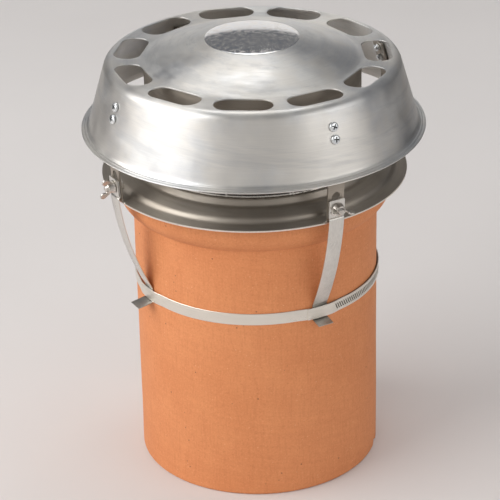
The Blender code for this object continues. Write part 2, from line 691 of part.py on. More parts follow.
def main():
    clear_scene()
    terracotta = make_material("terracotta", (0.62, 0.28, 0.14), 0.85, 0.0)
    aluminium = make_material("spun_aluminium", (0.80, 0.79, 0.77), 0.30, 1.0)
    stainless = make_material("stainless_sheet", (0.58, 0.56, 0.53), 0.28, 1.0)
    zinc = make_material("zinc_plated", (0.78, 0.79, 0.80), 0.25, 1.0)

    make_pot(terracotta)
    make_base_plate(stainless)
    make_drum(stainless)
    make_bird_guard(stainless)
    make_cowl(aluminium)
    for corner, azimuth in CORNERS.items():
        make_cowl_fixings(corner, azimuth, zinc)
        make_strap(corner, azimuth, stainless)
        make_clamp_plate(corner, azimuth, stainless)
        make_bolt(corner, azimuth, zinc)
        make_wing_nut(corner, azimuth, zinc)
    make_band(stainless)
    make_worm_housing(stainless)
    make_worm_screw(zinc)


main()
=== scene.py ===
"""Looks of a terracotta chimney pot with a spun metal wind-proof cowl strapped on its head.

Metres, +Z up. Azimuths are degrees from the front (-Y) towards the right (+X).
"""

from math import atan2, cos, degrees, exp, hypot, pi, radians, sin, sqrt, tan, tau

import bmesh
import bpy
from mathutils import Matrix, Vector


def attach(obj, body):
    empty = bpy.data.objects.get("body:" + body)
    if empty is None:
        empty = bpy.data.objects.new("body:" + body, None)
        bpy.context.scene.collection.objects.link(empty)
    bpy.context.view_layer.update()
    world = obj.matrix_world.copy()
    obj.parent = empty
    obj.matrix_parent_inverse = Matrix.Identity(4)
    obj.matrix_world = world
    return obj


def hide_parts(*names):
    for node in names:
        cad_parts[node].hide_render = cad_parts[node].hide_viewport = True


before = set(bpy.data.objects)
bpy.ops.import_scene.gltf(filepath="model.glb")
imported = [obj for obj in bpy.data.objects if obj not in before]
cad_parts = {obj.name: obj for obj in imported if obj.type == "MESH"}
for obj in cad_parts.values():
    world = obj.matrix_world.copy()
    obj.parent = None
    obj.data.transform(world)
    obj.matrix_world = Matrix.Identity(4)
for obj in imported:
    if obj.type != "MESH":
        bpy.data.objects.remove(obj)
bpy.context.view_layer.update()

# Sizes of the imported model
GAP = 0.0003
POT_RADIUS = 0.12
BORE_RADIUS = 0.102
POT_HEIGHT = 0.3137
FOOT_ROUND = 0.0025
HEAD_RADIUS = 0.1345
HEAD_START = 0.27
HEAD_SPLAY = radians(66)
HEAD_ROUND = 0.0135
MOUTH_ROUND = 0.003
PLATE_SHEET = 0.0015
SPIGOT_INSIDE = 0.0965
SPIGOT_FOOT = 0.2737
SPIGOT_ROUND = 0.003
SEAT_TOP = 0.3155
SEAT_RADIUS = 0.119
SEAT_WIDTH = 0.0045
RING_WALL = 0.0025
RING_TOP = 0.3225
RIM_RADIUS = 0.149
RIM_TOP = 0.305
RIM_HEM = 0.0019
BRIM_WIDTH = 0.0115
BRIM_FALL = 0.0017
BRIM_STEP = 0.0043
BRIM_STEP_RUN = 0.0025
ARM_WIDTH = 0.0175
ARM_SHEET = 0.0015
ARM_BEND = 0.062
ARM_SKIRT_GAP = 0.001
ARM_OVERLAP = 0.0393
SPARE_HOLE_RADIUS = 0.00425
SPARE_HOLE_LIFT = 0.0115
CORNERS = {"front_right": 29.5, "back_right": 119.5, "back_left": 209.5, "front_left": 299.5}
DRUM_RADIUS = 0.1045
DRUM_SHEET = 0.001
DRUM_TOP = 0.4172
DRUM_FOOT = 0.3492
GUARD_SPREAD = 0.009
GUARD_TOP = 0.3552
WIRE_RADIUS = 0.0012
GUARD_WIRES = 12
GUARD_START = -13.5
LAP_WIRE_AZIMUTH = 18.1
COWL_SHEET = 0.0015
COWL_FOOT = 0.3505
COWL_TOP = 0.419
SKIRT_FOOT_RADIUS = 0.1597
SKIRT_FOOT_Z = 0.3552
LIP_FLARE = 0.0071
SHOULDER_RADIUS = 0.1414
SHOULDER_ROUND = 0.0095
SKIRT_LEAN = atan2(SKIRT_FOOT_RADIUS - SHOULDER_RADIUS, COWL_TOP - SKIRT_FOOT_Z)
DOME_FOOT = 0.103
DOME_RISE = 0.0242
DISC_RADIUS = 0.0455
SLOTS = 11
SLOT_START = -4.3
SLOT_RADIUS = 0.11975
SLOT_LENGTH = 0.055
SLOT_WIDTH = 0.0265
SLOT_CORNER = 0.0125
SCREW_RADIUS = 0.002
SCREW_HEAD_RADIUS = 0.0045
SCREW_HEAD_HEIGHT = 0.0026
SCREW_CLEARANCE = 0.0004
SCREW_ALONG = {"lower": 0.0215, "upper": 0.0333}
NUT_RADIUS = 0.004
NUT_HEIGHT = 0.003
BOLT_LIFT = 0.0145
BOLT_RADIUS = 0.003
BOLT_CLEARANCE = 0.0004
BOLT_HEAD_RADIUS = 0.0056
BOLT_HEAD_HEIGHT = 0.004
CLAMP_WIDTH = 0.0165
CLAMP_HEIGHT = 0.018
CLAMP_SHEET = 0.0012
HUB_RADIUS = 0.0062
HUB_TIP_RADIUS = 0.0048
HUB_HEIGHT = 0.007
WING_SPAN = 0.026
WING_HEIGHT = 0.013
WING_TIP_RADIUS = 0.0036
WING_SHEET = 0.002
WING_TURNS = {"front_right": 78.0, "back_right": 35.0, "back_left": 80.0, "front_left": -24.0}
STRAP_WIDTH = 0.016
STRAP_SHEET = 0.001
STRAP_JOGGLE = 0.002
STRAP_LAND = 0.0015
STRAP_BOW = 0.005
TAB_DROOP = radians(10)
TAB_LENGTHS = {"front_right": 0.0125, "back_right": 0.014, "back_left": 0.014, "front_left": 0.0165}
BAND_HEIGHT = 0.1973
BAND_WIDTH = 0.012
BAND_SHEET = 0.0008
TAIL_START = 23.0
TAIL_END = 150.0
HOUSING_AZIMUTH = 140.0
HOUSING_LENGTH = 0.018
HOUSING_WIDTH = 0.015
HOUSING_HEIGHT = 0.009
HOUSING_WALL = 0.0012
STRAP_FACE = GAP + STRAP_SHEET
CLAMP_FACE = STRAP_FACE + GAP + CLAMP_SHEET
SCREW_HOLE = SCREW_RADIUS + SCREW_CLEARANCE
BOLT_HOLE = BOLT_RADIUS + BOLT_CLEARANCE

# Slots of the record
STEEL = "stainless_sheet"
ZINC = "zinc_plated"

# Fineness of the visible meshes
POT_STEPS = 384
METAL_STEPS = 220
BAND_STEPS = 360
HOLE_SIDES = 32
THREAD_SIDES = 40
HEXAGON_STEPS = 48
SMOOTH_ANGLE = 35


# Node materials


def new_material(name, metallic, roughness):
    material = bpy.data.materials.new(name)
    material.use_nodes = True
    shader = material.node_tree.nodes["Principled BSDF"]
    shader.inputs["Metallic"].default_value = metallic
    shader.inputs["Roughness"].default_value = roughness
    return material, material.node_tree, shader


def node(tree, kind, values=None, **settings):
    """Add a node, with its settings and the values or links of its inputs."""
    made = tree.nodes.new(kind)
    for key, value in settings.items():
        setattr(made, key, value)
    for key, value in (values or {}).items():
        if isinstance(value, bpy.types.NodeSocket):
            tree.links.new(value, made.inputs[key])
        else:
            made.inputs[key].default_value = value
    return made


def maths(tree, operation, first, second=0.0):
    return node(tree, "ShaderNodeMath", {0: first, 1: second}, operation=operation).outputs[0]


def times(tree, first, second):
    return maths(tree, "MULTIPLY", first, second)


def noise(tree, vector, scale, detail, roughness=0.55):
    values = {"Vector": vector, "Scale": scale, "Detail": detail, "Roughness": roughness}
    return node(tree, "ShaderNodeTexNoise", values).outputs[0]


def ramp(tree, factor, stops):
    """Colour ramp from two (position, colour) stops."""
    made = node(tree, "ShaderNodeValToRGB", {0: factor})
    for element, (position, colour) in zip(made.color_ramp.elements, stops):
        element.position = position
        element.color = (*colour, 1.0)
    return made.outputs[0]


def blend(tree, factor, first, second):
    """Mix two colours, each one a link or an (r, g, b) tuple."""
    first, second = ((*c, 1.0) if isinstance(c, tuple) else c for c in (first, second))
    values = {0: factor, 6: first, 7: second}
    return node(tree, "ShaderNodeMix", values, data_type="RGBA").outputs[2]


def spread(tree, value, low, high, out_low, out_high):
    values = {0: value, 1: low, 2: high, 3: out_low, 4: out_high}
    return node(tree, "ShaderNodeMapRange", values, interpolation_type="SMOOTHSTEP").outputs[0]


def stain(tree, base, *layers):
    """Lay colours over a base, by rows of (mask, low, high, amount, colour)."""
    for mask, low, high, amount, colour in layers:
        base = blend(tree, spread(tree, mask, low, high, 0.0, amount), base, colour)
    return base


def darker(colour, share):
    return tuple(c * share for c in colour)


def plug(tree, shader, base, rough=None):
    tree.links.new(base, shader.inputs["Base Color"])
    if rough:
        tree.links.new(rough, shader.inputs["Roughness"])


def bump(tree, shader, height, strength, distance):
    made = node(tree, "ShaderNodeBump", {"Height": height, "Strength": strength, "Distance": distance})
    tree.links.new(made.outputs[0], shader.inputs["Normal"])


def object_point(tree):
    return node(tree, "ShaderNodeTexCoord").outputs["Object"]


def stretched_noise(tree, scale, detail, roughness):
    """Noise that is drawn out along an axis, by a scale for each of the three."""
    values = {"Vector": object_point(tree), "Scale": scale}
    mapped = node(tree, "ShaderNodeMapping", values).outputs[0]
    return noise(tree, mapped, 1.0, detail, roughness)


def round_lines(tree, fineness, length):
    """Coordinates that run round the axis, fine across and long along."""
    x, y, z = node(tree, "ShaderNodeSeparateXYZ", {0: object_point(tree)}).outputs
    flat = node(tree, "ShaderNodeCombineXYZ", {0: x, 1: y}).outputs[0]
    radius = node(tree, "ShaderNodeVectorMath", {0: flat}, operation="LENGTH").outputs[1]
    cosine = times(tree, maths(tree, "DIVIDE", x, radius), length)
    sine = times(tree, maths(tree, "DIVIDE", y, radius), length)
    up = maths(tree, "ADD", times(tree, z, fineness), cosine)
    values = {0: times(tree, radius, fineness), 1: up, 2: sine}
    return node(tree, "ShaderNodeCombineXYZ", values).outputs[0]


def scattered(tree, scale, edge, broad_scale, kept):
    """Mask of small round spots, kept where a broader noise is high."""
    point = object_point(tree)
    cells = node(tree, "ShaderNodeTexVoronoi", {"Vector": point, "Scale": scale})
    spots = spread(tree, cells.outputs["Distance"], *edge, 1.0, 0.0)
    return times(tree, spots, spread(tree, noise(tree, point, broad_scale, 1.0), *kept, 0.0, 1.0))


def make_terracotta():
    """Unglazed clay: sandy grain, drawn and scraped streaks, pale specks, and a few pits with painted shade
    in them.
    """
    material, tree, shader = new_material("terracotta", 0.0, 0.7)
    point = object_point(tree)
    clouds = noise(tree, point, 11.0, 5.0, 0.6)
    blotches = noise(tree, point, 42.0, 4.0, 0.6)
    grain = noise(tree, point, 520.0, 5.0, 0.75)
    drawn = noise(tree, round_lines(tree, 260.0, 5.0), 1.0, 3.0, 0.5)
    scraped = stretched_noise(tree, (520.0, 520.0, 45.0), 3.0, 0.6)
    base = stain(
        tree, ramp(tree, clouds, [(0.3, (0.66, 0.24, 0.09)), (0.7, (0.725, 0.28, 0.112))]),
        (blotches, 0.45, 0.75, 0.3, (0.77, 0.312, 0.124)),
        (drawn, 0.35, 0.7, 0.14, (0.53, 0.172, 0.058)),
        (scraped, 0.48, 0.64, 0.22, (0.54, 0.175, 0.06)),
        (grain, 0.5, 0.7, 0.4, (0.84, 0.38, 0.175)),
        (grain, 0.47, 0.3, 0.5, (0.49, 0.148, 0.05)),
    )
    specks = scattered(tree, 210.0, (0.1, 0.16), 60.0, (0.56, 0.6))
    pits = scattered(tree, 125.0, (0.07, 0.13), 33.0, (0.6, 0.63))
    base = blend(tree, times(tree, specks, 0.45), base, (0.86, 0.5, 0.28))
    # Pits are darkened: painted shade in them, beside the dip that the bump below gives them.
    base = blend(tree, times(tree, pits, 0.8), base, (0.26, 0.09, 0.04))
    plug(tree, shader, base)
    height = maths(tree, "ADD", times(tree, grain, 0.5), times(tree, drawn, 0.5))
    height = maths(tree, "SUBTRACT", height, times(tree, pits, 1.5))
    bump(tree, shader, height, 0.55, 0.00035)
    return material


def make_brushed(name, colours, roughness, fineness, grooves, anisotropy):
    """Metal worked round the axis: fine lines across, faint stains and a stretched gloss.

    The colours are its stains from dark to light, its broad lines and its warm patches.
    """
    dark, light, lined, warm = colours
    material, tree, shader = new_material(name, 1.0, sum(roughness) / 2)
    point = object_point(tree)
    lines = round_lines(tree, fineness, 3.0)
    fine = noise(tree, lines, 1.0, 4.0, 0.65)
    broad = noise(tree, lines, 0.13, 3.0, 0.5)
    rubbed = noise(tree, round_lines(tree, 60.0, 1.6), 1.0, 5.0, 0.65)
    stains = noise(tree, point, 17.0, 6.0, 0.62)
    hue = noise(tree, point, 9.0, 4.0, 0.6)
    base = stain(
        tree, ramp(tree, stains, [(0.36, dark), (0.62, light)]),
        (hue, 0.44, 0.58, 0.65, warm),
        (rubbed, 0.5, 0.68, 0.45, darker(dark, 0.8)),
        (fine, 0.35, 0.65, 0.12, darker(dark, 0.72)),
        (broad, 0.4, 0.65, 0.2, lined),
    )
    rough = spread(tree, stains, 0.35, 0.65, *roughness)
    rough = maths(tree, "ADD", rough, spread(tree, rubbed, 0.35, 0.65, -0.04, 0.04))
    rough = maths(tree, "ADD", rough, spread(tree, fine, 0.3, 0.7, -0.04, 0.05))
    plug(tree, shader, base, rough)
    shader.inputs["Anisotropic"].default_value = anisotropy
    shader.inputs["Anisotropic Rotation"].default_value = 0.25
    tangent = node(tree, "ShaderNodeTangent", direction_type="RADIAL", axis="Z")
    tree.links.new(tangent.outputs[0], shader.inputs["Tangent"])
    bump(tree, shader, fine, grooves, 0.00012)
    return material


def make_disc_metal():
    """Undressed middle of the dome: mottled mill finish with fine scratches from side to side."""
    material, tree, shader = new_material("spun_aluminium_disc", 1.0, 0.16)
    point = object_point(tree)
    patches = noise(tree, point, 210.0, 6.0, 0.78)
    worn = noise(tree, point, 28.0, 3.0, 0.55)
    scratches = stretched_noise(tree, (90.0, 900.0, 900.0), 3.0, 0.6)
    base = stain(
        tree, ramp(tree, patches, [(0.38, (0.62, 0.65, 0.7)), (0.6, (0.82, 0.8, 0.78))]),
        (worn, 0.45, 0.65, 0.5, (0.78, 0.78, 0.77)),
        (scratches, 0.55, 0.72, 0.3, (0.86, 0.86, 0.86)),
    )
    plug(tree, shader, base, spread(tree, patches, 0.42, 0.6, 0.05, 0.26))
    bump(tree, shader, patches, 0.12, 0.00012)
    return material


def make_sheet_steel(name, dark, light, roughness, scale=900.0):
    """Flat sheet with a faint upright grain and smudges."""
    material, tree, shader = new_material(name, 1.0, sum(roughness) / 2)
    grain = stretched_noise(tree, (scale, scale, scale * 0.06), 4.0, 0.6)
    smudge = noise(tree, object_point(tree), 55.0, 4.0, 0.6)
    base = ramp(tree, smudge, [(0.35, dark), (0.65, light)])
    base = stain(tree, base, (grain, 0.35, 0.65, 0.25, darker(dark, 0.75)))
    rough = spread(tree, smudge, 0.3, 0.7, *roughness)
    rough = maths(tree, "ADD", rough, spread(tree, grain, 0.3, 0.7, -0.03, 0.04))
    plug(tree, shader, base, rough)
    bump(tree, shader, grain, 0.12, 0.0001)
    return material


def make_zinc(name, dark, light, roughness):
    """Plated fastener, with the small crystals of its zinc."""
    material, tree, shader = new_material(name, 1.0, sum(roughness) / 2)
    point = object_point(tree)
    spangle = noise(tree, point, 350.0, 3.0, 0.6)
    tint = noise(tree, point, 120.0, 2.0, 0.5)
    base = ramp(tree, tint, [(0.35, dark), (0.65, light)])
    plug(tree, shader, base, spread(tree, spangle, 0.3, 0.7, *roughness))
    bump(tree, shader, spangle, 0.15, 0.0001)
    return material


# Mesh helpers

DRILL_REACH = 0.006
ON_AXIS = 1e-6


def new_object(name, data):
    obj = bpy.data.objects.new(name, data)
    bpy.context.scene.collection.objects.link(obj)
    return obj


def shade(mesh, smooth_angle=SMOOTH_ANGLE):
    mesh.shade_smooth()
    mesh.set_sharp_from_angle(angle=radians(smooth_angle))


def add_object(name, bm, smooth_angle=SMOOTH_ANGLE):
    """Turn a bmesh into a named object with its faces pointing out."""
    bmesh.ops.recalc_face_normals(bm, faces=bm.faces)
    mesh = bpy.data.meshes.new(name)
    bm.to_mesh(mesh)
    bm.free()
    shade(mesh, smooth_angle)
    return new_object(name, mesh)


def modify(obj, kind, **settings):
    """Change an object's mesh by a modifier."""
    modifier = obj.modifiers.new(kind, kind)
    for key, value in settings.items():
        setattr(modifier, key, value)
    evaluated = obj.evaluated_get(bpy.context.evaluated_depsgraph_get())
    mesh = bpy.data.meshes.new_from_object(evaluated)
    obj.modifiers.clear()
    obj.data = mesh
    shade(mesh)


def combine(obj, tool_bm, operation):
    """Cut or join a tool made from a bmesh of closed shells."""
    tool = add_object("tool", tool_bm)
    modify(obj, "BOOLEAN", operation=operation, object=tool, solver="EXACT")
    bpy.data.objects.remove(tool, do_unlink=True)


def soften(obj, width, segments=2, angle=50):
    """Round an object's edges."""
    modify(obj, "BEVEL", width=width, segments=segments, limit_method="ANGLE", angle_limit=radians(angle))


def arc(centre_r, centre_z, radius, start, end, steps):
    """Points of a profile's round stretch, angles in degrees from +R towards +Z."""
    points = []
    for i in range(steps + 1):
        angle = radians(start + (end - start) * i / steps)
        points.append((centre_r + radius * cos(angle), centre_z + radius * sin(angle)))
    return points


def run(start, end, steps):
    """Points along a straight stretch, without its two ends."""
    return [tuple(a + (b - a) * i / steps for a, b in zip(start, end)) for i in range(1, steps)]


def rectangle(half, low, high):
    return [(-half, low), (half, low), (half, high), (-half, high)]


def round_rectangle(half, low, high, corner, steps):
    """Outline of (x, z) points, with round corners."""
    outline = []
    for x, z, start in ((half - corner, high - corner, 0), (corner - half, high - corner, 90),
                        (corner - half, low + corner, 180), (half - corner, low + corner, 270)):
        outline += arc(x, z, corner, start, start + 90, steps)
    return outline


def join_rings(bm, rings, closed=False):
    """Faces between rings of points, where one point makes a tip. Rings that don't close get caps."""
    if not closed:
        for cap in (rings[0], rings[-1][::-1]):
            if len(cap) > 1:
                bm.faces.new(cap)
    for low, high in zip(rings, rings[1:] + (rings[:1] if closed else [])):
        sides = max(len(low), len(high))
        for i in range(sides):
            j = (i + 1) % sides
            corners = [low[i % len(low)], low[j % len(low)], high[j % len(high)], high[i % len(high)]]
            bm.faces.new(list(dict.fromkeys(corners)))
    return bm


def turn(profile, segments, shift=None, bm=None):
    """Turn a profile of (radius, height) about Z, which closes on itself unless it starts on the axis."""
    bm = bm or bmesh.new()
    rings = []
    for r, z in profile:
        if r < ON_AXIS:
            rings.append([bm.verts.new((0.0, 0.0, z))])
            continue
        ring = []
        for i in range(segments):
            angle = tau * i / segments
            reach = r + (shift(angle, r, z) if shift else 0.0)
            ring.append(bm.verts.new((reach * sin(angle), -reach * cos(angle), z)))
        rings.append(ring)
    return join_rings(bm, rings, closed=profile[0][0] > ON_AXIS)


def prism(outline, axis_from, axis_to, matrix=Matrix.Identity(4)):
    """Extrude a flat outline of (x, z) along y from one plane to another, then place it."""
    bm = bmesh.new()
    ends = []
    for y in (axis_from, axis_to):
        ends.append([bm.verts.new(matrix @ Vector((x, y, z))) for x, z in outline])
    return join_rings(bm, ends)


def bend_path(points, radius, steps=6):
    """Round the corners of a path of (r, z) points."""
    path = [points[0]]
    for before, corner, after in zip(points, points[1:], points[2:]):
        corner = Vector(corner)
        into = Vector(before) - corner
        out = Vector(after) - corner
        reach = min(radius, into.length * 0.45, out.length * 0.45)
        start = corner + into.normalized() * reach
        end = corner + out.normalized() * reach
        for i in range(steps + 1):
            t = i / steps
            path.append(tuple(start * (1 - t) ** 2 + corner * 2 * t * (1 - t) + end * t ** 2))
    return path + [points[-1]]


def offset_path(path, distance):
    """Path of (r, z) points moved sideways, to the right of its direction, with mitred corners."""
    moved = []
    for i, point in enumerate(path):
        here = Vector(point)
        into = (here - Vector(path[i - 1])).normalized() if i else None
        out = (Vector(path[i + 1]) - here).normalized() if i + 1 < len(path) else into
        into = into or out
        side = Vector(((into + out).y, -(into + out).x)).normalized()
        moved.append(tuple(here + side * distance / side.dot(Vector((out.y, -out.x)))))
    return moved


def ribbon(path, width_at, thickness, matrix):
    """Sheet strip along a path of (r, z) points, with a half width for each distance along it."""
    bm = bmesh.new()
    rings = []
    done = 0.0
    for i, point in enumerate(path):
        here = Vector(point)
        before = Vector(path[max(i - 1, 0)])
        after = Vector(path[min(i + 1, len(path) - 1)])
        done += (here - before).length
        along = (after - before).normalized()
        normal = Vector((-along.y, along.x)) * thickness / 2
        half = width_at(done)
        outer, inner = here + normal, here - normal
        corners = [(outer, -half), (outer, half), (inner, half), (inner, -half)]
        rings.append([bm.verts.new(matrix @ Vector((p.x, y, p.y))) for p, y in corners])
    return join_rings(bm, rings)


def copy_into(bm, shell, matrix):
    """Move a small shell's faces into a larger bmesh."""
    shell.transform(matrix)
    bmesh.ops.recalc_face_normals(shell, faces=shell.faces)
    twins = {v: bm.verts.new(v.co) for v in shell.verts}
    for face in shell.faces:
        bm.faces.new([twins[v] for v in face.verts])
    shell.free()


def drill(obj, holes):
    """Cut round holes along fasteners' axes, each by its (place, radius)."""
    cutters = bmesh.new()
    for place, radius in holes:
        profile = [(0.0, -DRILL_REACH), (radius, -DRILL_REACH)]
        profile += [(radius, DRILL_REACH / 2), (0.0, DRILL_REACH / 2)]
        copy_into(cutters, turn(profile, HOLE_SIDES), place)
    combine(obj, cutters, "DIFFERENCE")


def from_axis(point):
    return hypot(point.x, point.y)


def paint(obj, material, chosen):
    """Give a second material to the faces with a chosen middle."""
    obj.data.materials.append(material)
    for face in obj.data.polygons:
        if chosen(face.center):
            face.material_index = 1


# Places on the object

ARM_FOOT_REACH = 0.0008


def spin(angle, axis):
    return Matrix.Rotation(radians(angle), 4, axis)


def at_azimuth(azimuth, radius=0.0, height=0.0):
    return spin(azimuth - 90, "Z") @ Matrix.Translation((radius, 0.0, height))


def outward_axis(azimuth, radius, height, tilt):
    """Matrix that lays a shape turned about Z along the outward direction, tilted up by an angle."""
    return at_azimuth(azimuth, radius, height) @ Matrix.Rotation(pi / 2 - tilt, 4, "Y")


def skirt_station(along, inward):
    """Radius and height at a distance up the skirt from the arm's bend, and under its outside."""
    bend_z = RIM_TOP + ARM_BEND
    bend_radius = SHOULDER_RADIUS + (COWL_TOP - bend_z) * tan(SKIRT_LEAN)
    z = bend_z + along * cos(SKIRT_LEAN) - inward * sin(SKIRT_LEAN)
    r = bend_radius - along * sin(SKIRT_LEAN) - inward * cos(SKIRT_LEAN)
    return r, z


ARM_FOOT = Vector((RIM_RADIUS + ARM_FOOT_REACH, RIM_TOP))
ARM_TOP = Vector(skirt_station(0.0, COWL_SHEET + ARM_SKIRT_GAP))
ARM_LEAN = atan2(ARM_TOP.x - ARM_FOOT.x, ARM_TOP.y - ARM_FOOT.y)


def arm_station(along, outward):
    """Radius and height at a distance up an arm from the plate's rim, and outside its face."""
    up = Vector((sin(ARM_LEAN), cos(ARM_LEAN)))
    out = Vector((cos(ARM_LEAN), -sin(ARM_LEAN)))
    return tuple(ARM_FOOT + up * along + out * outward)


def on_arm(azimuth, along, outward):
    radius, height = arm_station(along, outward)
    return outward_axis(azimuth, radius, height, -ARM_LEAN)


def on_skirt(azimuth, along):
    radius, height = skirt_station(along, 0.0)
    return outward_axis(azimuth, radius, height, SKIRT_LEAN)


def screw_holes(azimuth):
    return [(on_skirt(azimuth, along), SCREW_HOLE) for along in SCREW_ALONG.values()]


def dress(obj, material, slot, *nodes):
    """Give a piece its material and let it stand for its nodes."""
    obj.data.materials.clear()
    obj.data.materials.append(material)
    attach(obj, "root")
    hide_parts(*nodes)
    return obj


# The pot

CLAY_WAVES = [(0.00022, 2, 9, 0.0), (0.00012, 5, -21, 1.3), (0.00008, 11, 55, 0.4)]
FOOT_STRETCH = 0.02
WANDER_FROM = POT_RADIUS * 0.9
CHIP_FROM = 0.115
CHIP_AZIMUTH = radians(78)
CHIP_WIDTH = 0.0065
CHIP_HEIGHT = 0.011
CHIP_DEPTH = 0.0028
HEAD_HOLLOW = 0.0028


def pot_unevenness(angle, r, z):
    """Slow wander of the extruded clay, and a chip out of the foot's outer edge."""
    wander = sum(depth * sin(around * angle + up * z + start) for depth, around, up, start in CLAY_WAVES)
    wander = wander * min(1.0, z / FOOT_STRETCH) if r > WANDER_FROM else 0.0
    away = ((angle - CHIP_AZIMUTH) * POT_RADIUS / CHIP_WIDTH) ** 2 + (z / CHIP_HEIGHT) ** 2
    chip = CHIP_DEPTH * max(0.0, 1 - away) ** 0.6 * (1 + 0.25 * sin(124 * angle + 700 * z))
    return wander - (chip if r > CHIP_FROM else 0.0)


def make_pot(material):
    flare_radius = (HEAD_RADIUS - POT_RADIUS) / (1 - cos(HEAD_SPLAY))
    flare_z = HEAD_START + flare_radius * sin(HEAD_SPLAY)
    wall_end = (POT_RADIUS, HEAD_START - HEAD_HOLLOW * 2)
    profile = arc(POT_RADIUS - FOOT_ROUND, FOOT_ROUND, FOOT_ROUND, -90, 0, 5)
    profile += run((POT_RADIUS, FOOT_ROUND), (POT_RADIUS, FOOT_STRETCH), 8)
    profile += run((POT_RADIUS, FOOT_STRETCH - FOOT_ROUND), wall_end, 26)
    # The wall runs into the head's underside by a small hollow
    flare = arc(HEAD_RADIUS - flare_radius, flare_z, flare_radius, -degrees(HEAD_SPLAY), 0, 24)
    profile += bend_path([wall_end, flare[0], flare[4]], HEAD_HOLLOW, 8)[:-1]
    profile += flare[4:]
    profile += run(flare[-1], (HEAD_RADIUS, POT_HEIGHT - HEAD_ROUND), 6)
    profile += arc(HEAD_RADIUS - HEAD_ROUND, POT_HEIGHT - HEAD_ROUND, HEAD_ROUND, 0, 90, 10)
    profile += arc(BORE_RADIUS + MOUTH_ROUND, POT_HEIGHT - MOUTH_ROUND, MOUTH_ROUND, 90, 180, 5)
    profile += run((BORE_RADIUS, POT_HEIGHT - MOUTH_ROUND), (BORE_RADIUS, FOOT_ROUND), 24)
    profile += arc(BORE_RADIUS + FOOT_ROUND, FOOT_ROUND, FOOT_ROUND, 180, 270, 5)
    bm = turn(profile, POT_STEPS, pot_unevenness)
    dress(add_object("pot_clay", bm, 50), material, "terracotta", "pot")


# The base plate with its arms

PLATE_BEND = 0.0021
RIM_NICK = 0.0004
ARM_ROOT = 0.0045
ARM_FILLET = 0.0028
ARM_CORNER = 0.0025
ARM_STEP = 0.0006
ARM_FINE_POINTS = 30


def plate_profile():
    """Section of the spun plate: spigot, inner ring, seat, slope, small step and brim."""
    brim_start = RIM_RADIUS - BRIM_WIDTH
    face = [
        (SPIGOT_INSIDE, SPIGOT_FOOT),
        (SPIGOT_INSIDE, RING_TOP - SPIGOT_ROUND),
        (SPIGOT_INSIDE + SPIGOT_ROUND, RING_TOP),
        (SEAT_RADIUS - RING_WALL, RING_TOP),
        (SEAT_RADIUS, SEAT_TOP),
        (SEAT_RADIUS + SEAT_WIDTH, SEAT_TOP),
        (brim_start - BRIM_STEP_RUN, RIM_TOP + BRIM_FALL + BRIM_STEP),
        (brim_start, RIM_TOP + BRIM_FALL),
        (RIM_RADIUS - RIM_HEM / 2, RIM_TOP),
    ]
    hem = [
        (RIM_RADIUS - RIM_NICK, RIM_TOP - 0.0001),
        (RIM_RADIUS, RIM_TOP - RIM_NICK),
        (RIM_RADIUS, RIM_TOP - RIM_HEM + RIM_NICK),
        (RIM_RADIUS - RIM_NICK, RIM_TOP - RIM_HEM),
        (RIM_RADIUS - RIM_HEM, RIM_TOP - RIM_HEM),
    ]
    lower = bend_path(offset_path(face, PLATE_SHEET), PLATE_BEND)
    return bend_path(face, PLATE_BEND) + hem + lower[::-1][1:]


def arm_half_width(done):
    """Half the arm's width, with a fillet where it leaves the rim."""
    share = min(1.0, (ARM_ROOT + ARM_FILLET - done) / ARM_FILLET)
    if share <= 0:
        return ARM_WIDTH / 2
    return ARM_WIDTH / 2 + ARM_FILLET * (1 - sqrt(1 - share ** 2))


def arm_path():
    """Middle of an arm's sheet, from inside the brim to its end under the skirt."""
    path = bend_path([
        (RIM_RADIUS - ARM_ROOT, RIM_TOP - GAP),
        arm_station(-0.0009, -ARM_SHEET / 2),
        arm_station(ARM_BEND, -ARM_SHEET / 2),
        skirt_station(ARM_OVERLAP, COWL_SHEET + ARM_SKIRT_GAP + ARM_SHEET / 2),
    ], ARM_CORNER)
    path = path[:-1] + run(path[-2], path[-1], 8) + path[-1:]
    fine = [path[0]]
    for before, after in zip(path, path[1:]):
        length = (Vector(after) - Vector(before)).length
        pieces = max(1, int(length / ARM_STEP)) if len(fine) < ARM_FINE_POINTS else 1
        fine += run(before, after, pieces) + [after]
    return fine


def make_base_plate(material, rim_highlight_material):
    plate = add_object("base_plate_sheet", turn(plate_profile(), METAL_STEPS), 30)
    arms = bmesh.new()
    holes = []
    for azimuth in CORNERS.values():
        arm = ribbon(arm_path(), arm_half_width, ARM_SHEET, at_azimuth(azimuth))
        copy_into(arms, arm, Matrix.Identity(4))
        holes += [(on_arm(azimuth, BOLT_LIFT, 0.0), BOLT_HOLE)] + screw_holes(azimuth)
        holes += [(on_arm(azimuth, BOLT_LIFT + SPARE_HOLE_LIFT, 0.0), SPARE_HOLE_RADIUS)]
    combine(plate, arms, "UNION")
    drill(plate, holes)
    dress(plate, material, STEEL, "base_plate")
    # The hem round the rim gets a pale stainless: a painted highlight along the rim's edge.
    paint(plate, rim_highlight_material,
          lambda middle: from_axis(middle) > RIM_RADIUS - 0.0005 and RIM_TOP - RIM_HEM < middle.z < RIM_TOP)


# Drum and bird guard


def make_drum(material):
    inner = DRUM_RADIUS - DRUM_SHEET
    edge = DRUM_SHEET / 2
    profile = arc(inner + edge, DRUM_FOOT + edge, edge, -180, 0, 6)
    profile += run((DRUM_RADIUS, DRUM_FOOT + edge), (DRUM_RADIUS, DRUM_TOP), 10)
    profile += [(DRUM_RADIUS, DRUM_TOP), (inner, DRUM_TOP)]
    bm = turn(profile, METAL_STEPS)
    dress(add_object("wind_drum_sheet", bm), material, STEEL, "wind_drum")


